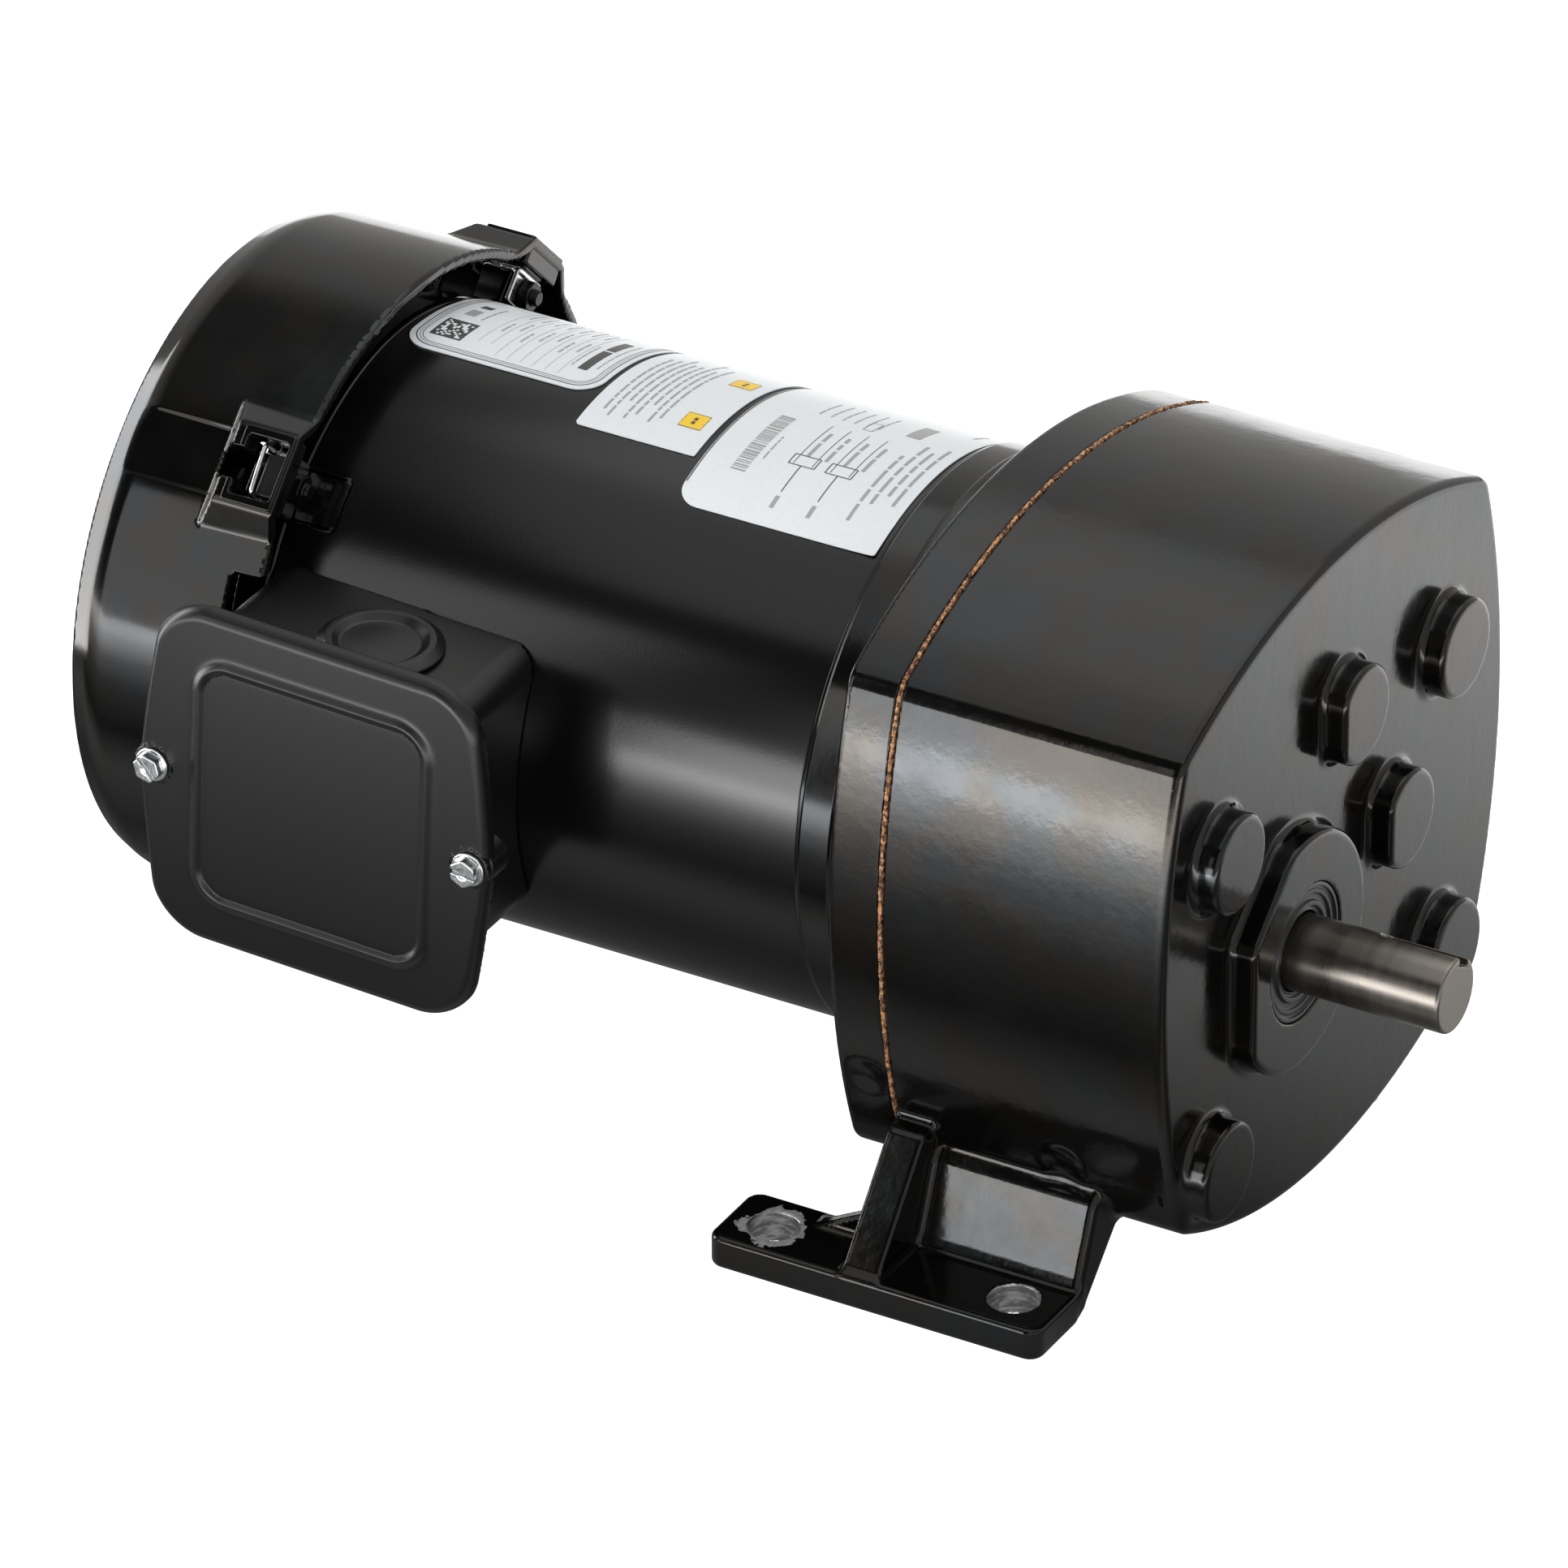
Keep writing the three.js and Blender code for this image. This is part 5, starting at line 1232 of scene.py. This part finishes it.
def wiring_label():
    label = Label("wiring_label", "wiring_label_film", (6.0, 0.8))
    rng = np.random.default_rng(31)
    label.stroke([(0.35, 6.5), (0.35, label.height - 8)], 0.35)
    v = 14.0
    while v < 39:
        wide = rng.choice([0.3, 0.3, 0.5, 0.8])
        label.bar(8.2, v, 12.2, v + wide, 2)
        v += wide + rng.choice([0.35, 0.35, 0.6])
    label.words(rng, 14, 20, 30, 0.8, 2)
    for u in (21.5, 26.5, 31.5, 36.5):
        label.words(rng, u + 1.9, 25, 37, 1.7)
        label.stroke([(u, 21.5), (u, 41)], 0.22)
    for u in (21.5, 31.5):
        label.box(u - 1.2, 21, u + 5.8, 25, 0.3)
        label.stroke([(u + 2.3, 21), (u + 2.3, 11)], 0.3)
        label.words(rng, u + 2.3, 5.5, 9.5, 2.0)
    for k, (start, stop) in enumerate(((12, 46), (15, 42), (11, 44), (4, 36))):
        label.words(rng, 51.5 - 2.7 * k, start + 4, stop, 1.6)
    label.bar(38, 47, 42, 58, 2)
    label.box(28, 44, 30.5, 50, 0.2)
    for k in range(6):
        label.words(rng, 15 + 3.2 * k, 46, 58, 0.8, 2)
    label.words(rng, 50, 60, 70, 1.4)
    label.build(0.5)


nameplate()
centre_label()
wiring_label()


# ---------------- fan cover clips

def wire(name, path, radius, material, steps=12):
    """A tube along a path of points."""
    turn = [2 * math.pi * k / steps for k in range(steps)]
    rings = []
    for i, point in enumerate(path):
        before, after = Vector(path[max(i - 1, 0)]), Vector(path[min(i + 1, len(path) - 1)])
        facing = (after - before).normalized().to_track_quat("Z", "Y")
        spokes = [Vector((math.cos(a) * radius, math.sin(a) * radius, 0)) for a in turn]
        rings.append([Vector(point) + facing @ spoke for spoke in spokes])
    return skinned(name, rings, material, ends=True, sharp=60)


def clip_bracket(x, y, z):
    """The bracket on the end bell's lug; y runs out from the motor and z across."""
    plate = both(rectangle(y - 78, z, 4.5, 7, 1.2), slab(x, -303.0, -301.8), 0.3)
    arm = both(rectangle(x + 304.5, z, 3.0, 7, 0.8), slab(y, 81.4, 82.5), 0.3)
    return either(plate, arm, 0.8)


def clip_stud(x, y, z):
    """The bracket's threaded stud and its nut."""
    angle = nearest(np.arctan2(z, y - STUD_OUT), 6)
    out = disc(y, z, STUD_OUT, 0, 0)
    nut = both(both(out * np.cos(angle) - 3.6, slab(x, -301.6, -298.9), 0.3), out - 4.0, 0.3)
    thread = 0.18 * np.cos(x * 2 * math.pi / 0.8)
    return either(nut, both(out - 2.0 + thread, slab(x, -313.0, -297.3), 0.4))


def clip_latch(x, y, z):
    return both(rectangle(x + 303.8, z - 0.6, 2.9, 5.6, 0.8), slab(y, 82.5, 87.2), 0.6)


def clip(number):
    name = f"cover_clip_{number}"
    bend = [(-307.4, 84.0, -6.4), (-307.4, 88.0, -6.4), (-307.2, 88.9, -6.1), (-307.2, 89.2, -5.2)]
    path = bend + [(-306.9, 89.3, 0)] + [(x + 0.5, y, -z) for x, y, z in reversed(bend)]
    parts = [
        moulded(f"{name}_bracket", clip_bracket, (-309, 72, -8), (-300, 84, 8), 0.35, ZINC),
        moulded(f"{name}_stud", clip_stud, (-314, 72, -5), (-296, 83, 5), 0.35, BLACK_STEEL),
        wire(f"{name}_bail", path, 0.62, ZINC),
        moulded(f"{name}_latch", clip_latch, (-309, 81, -8), (-299, 89, 8), 0.5, PLASTIC)]
    return turned_out(merged(f"{name}_assembly", parts), number)


for number in CLIPS:
    place(clip(number), "zinc", f"cover_clip_{number}")


# ---------------- floor, light and camera

def emission_by(name, values, axis):
    """An emission whose strength follows (coordinate, strength) pairs along one axis."""
    m = Nodes(name)
    m.tree.nodes.remove(m.surface)
    low, high = values[0][0], values[-1][0]
    ramp = m.add("ShaderNodeValToRGB", {"Fac": m.remap(m.along(axis), low, high, kind="LINEAR")})
    top = max(strength for _, strength in values)
    stops = ramp.color_ramp.elements
    for k, (at, strength) in enumerate(values):
        share = (at - low) / (high - low)
        stop = stops[k] if k < 2 else stops.new(share)
        stop.position = share
        stop.color = (strength / top, strength / top, strength / top, 1)
    glow = m.add("ShaderNodeEmission", {"Color": ramp.outputs["Color"], "Strength": top})
    m.feed(m.tree.nodes["Material Output"].inputs["Surface"], glow.outputs[0])
    return m.material


def unseen(piece, *rays):
    """Hides a piece of the studio from kinds of rays."""
    for kind in rays:
        setattr(piece, "visible_" + kind, False)
    return piece


def panel(name, material, points, faces, *unseen_by):
    """A flat piece of the studio."""
    mesh = bpy.data.meshes.new(name)
    mesh.from_pydata([[c * MM for c in point] for point in points], [], faces)
    piece = unseen(new_object(name, mesh, material), *unseen_by)


def sheet(name, material, low, high, z, *unseen_by):
    """A level sheet of the studio, between two corners and at a height."""
    corners = [low, (high[0], low[1]), high, (low[0], high[1])]
    panel(name, material, [(x, y, z) for x, y in corners], [(0, 1, 2, 3)], *unseen_by)


def soft_box(name, centre, size, aim, radiance):
    """A rectangular light of even brightness, facing a point."""
    light = bpy.data.lights.new(name, "AREA")
    light.shape = "RECTANGLE"
    light.size, light.size_y = size[0] * MM, size[1] * MM
    light.energy = radiance * math.pi * size[0] * size[1] * MM * MM
    piece = unseen(new_object(name, light), "camera")
    piece.location = Vector(centre) * MM
    facing = Vector(aim) - Vector(centre)
    piece.rotation_euler = facing.to_track_quat("-Z", "Z").to_euler()
    return piece


GROUND = FLOOR_Z - 0.2
white = Nodes("floor_white")
white.set(Base_Color=grey(0.8), Roughness=0.9, Emission_Color=grey(1.0), Emission_Strength=1.0)
sheet("floor", white.material, (-6000, -6000), (6000, 6000), GROUND, "glossy", "diffuse", "shadow")

# What the paint mirrors from below: a glowing table that is lit at its edges, with the gearmotor's
# shadow painted into the glow as the dark band by the gearmotor.
TABLE = [(-900, 6.0), (-614, 5.3), (-445, 3.0), (-366, 1.3), (-300, 1.0), (-263, 0.5),
         (-226, 0.35), (-140, 0.06), (-95, 0.4), (-50, 0.1), (0, 0.1), (58, 0.36), (73, 0.45),
         (140, 0.72), (214, 1.2), (300, 1.7), (900, 1.9)]
table_glow = emission_by("table_glow", TABLE, 1)
sheet("table_glow", table_glow, (-1500, -1500), (1500, 1500), GROUND, "camera", "shadow")

# The ceiling panel ends above the fan cover, whose top so stays dark.
CEILING = [(-700, 0.8), (0, 0.8), (100, 0.95), (220, 1.35), (600, 1.3), (1000, 0.85)]
ceiling_panel = emission_by("ceiling_panel", CEILING, 1)
sheet("ceiling_panel", ceiling_panel, (-780, -700), (500, 1000), 1000, "camera")

soft_box("low_box", (-372, -720, 30), (210, 240), (-372, 0, 30), 5.7)
soft_box("side_box", (-730, -700, 280), (340, 720), (-730, 0, 280), 1.7)
soft_box("shaft_box", (-362, -700, 250), (56, 460), (-362, 0, 250), 1.2)
unseen(soft_box("overhead", (-150, -100, 900), (1300, 1300), (-150, -100, 0), 0.9), "glossy")

# A bent strip of light behind the motor, which the bevel round the back of the fan cover mirrors.
STRIP_X, STRIP_RADIANCE = -600, 8.0
STRIP = [(70, 250), (30, 165), (-110, 205), (-50, 110), (-190, 110), (-95, 70), (-205, -79),
         (-105, -79)]
strip_glow = emission_by("rear_strip", [(-700, STRIP_RADIANCE), (-500, STRIP_RADIANCE)], 0)
panel("rear_strip", strip_glow, [(STRIP_X, y, z) for y, z in STRIP],
      [(k, k + 1, k + 3, k + 2) for k in (0, 2, 4)], "camera", "diffuse", "shadow")

world = bpy.data.worlds.new("studio")
bpy.context.scene.world = world
sky = Nodes("studio", world)
way = sky.add("ShaderNodeTexCoord").outputs["Generated"]
rise = sky.add("ShaderNodeSeparateXYZ", {0: way}).outputs["Z"]
# The near side of the room is dark at eye height, which the rounded top corners mirror.
DARK_WAY = (-0.42, -0.80, 0.43)
facing = sky.add("ShaderNodeVectorMath", {0: way, 1: DARK_WAY}, operation="DOT_PRODUCT")
shade = sky.remap(facing.outputs["Value"], 0.72, 0.88, 1.0, 0.04)
sky.set(Strength=sky.math("MULTIPLY", sky.remap(rise, 0.6, 0.8, 0.62, 0.14), shade),
        Color=(1, 0.985, 0.96, 1))

# The camera stands far off, as the photograph's edges run almost parallel.
RIGHT = Vector((0.8721, 0.4894, 0.0))
UP = Vector((-0.2513, 0.4478, 0.8581))
BACK = Vector((0.4199, -0.7483, 0.5135))
CAMERA_SPOT = RIGHT * -158.62 + UP * 50.0 + BACK * 3831.4
FOCAL_LENGTH = 372.7
lens = bpy.data.cameras.new("camera")
lens.lens = FOCAL_LENGTH
lens.sensor_width = 36
lens.clip_end = 50
camera = new_object("camera", lens)
turned = Matrix((RIGHT, UP, BACK)).transposed().to_4x4()
camera.matrix_world = Matrix.Translation(CAMERA_SPOT * MM) @ turned
bpy.context.scene.camera = camera
bpy.context.scene.view_settings.view_transform = "Standard"
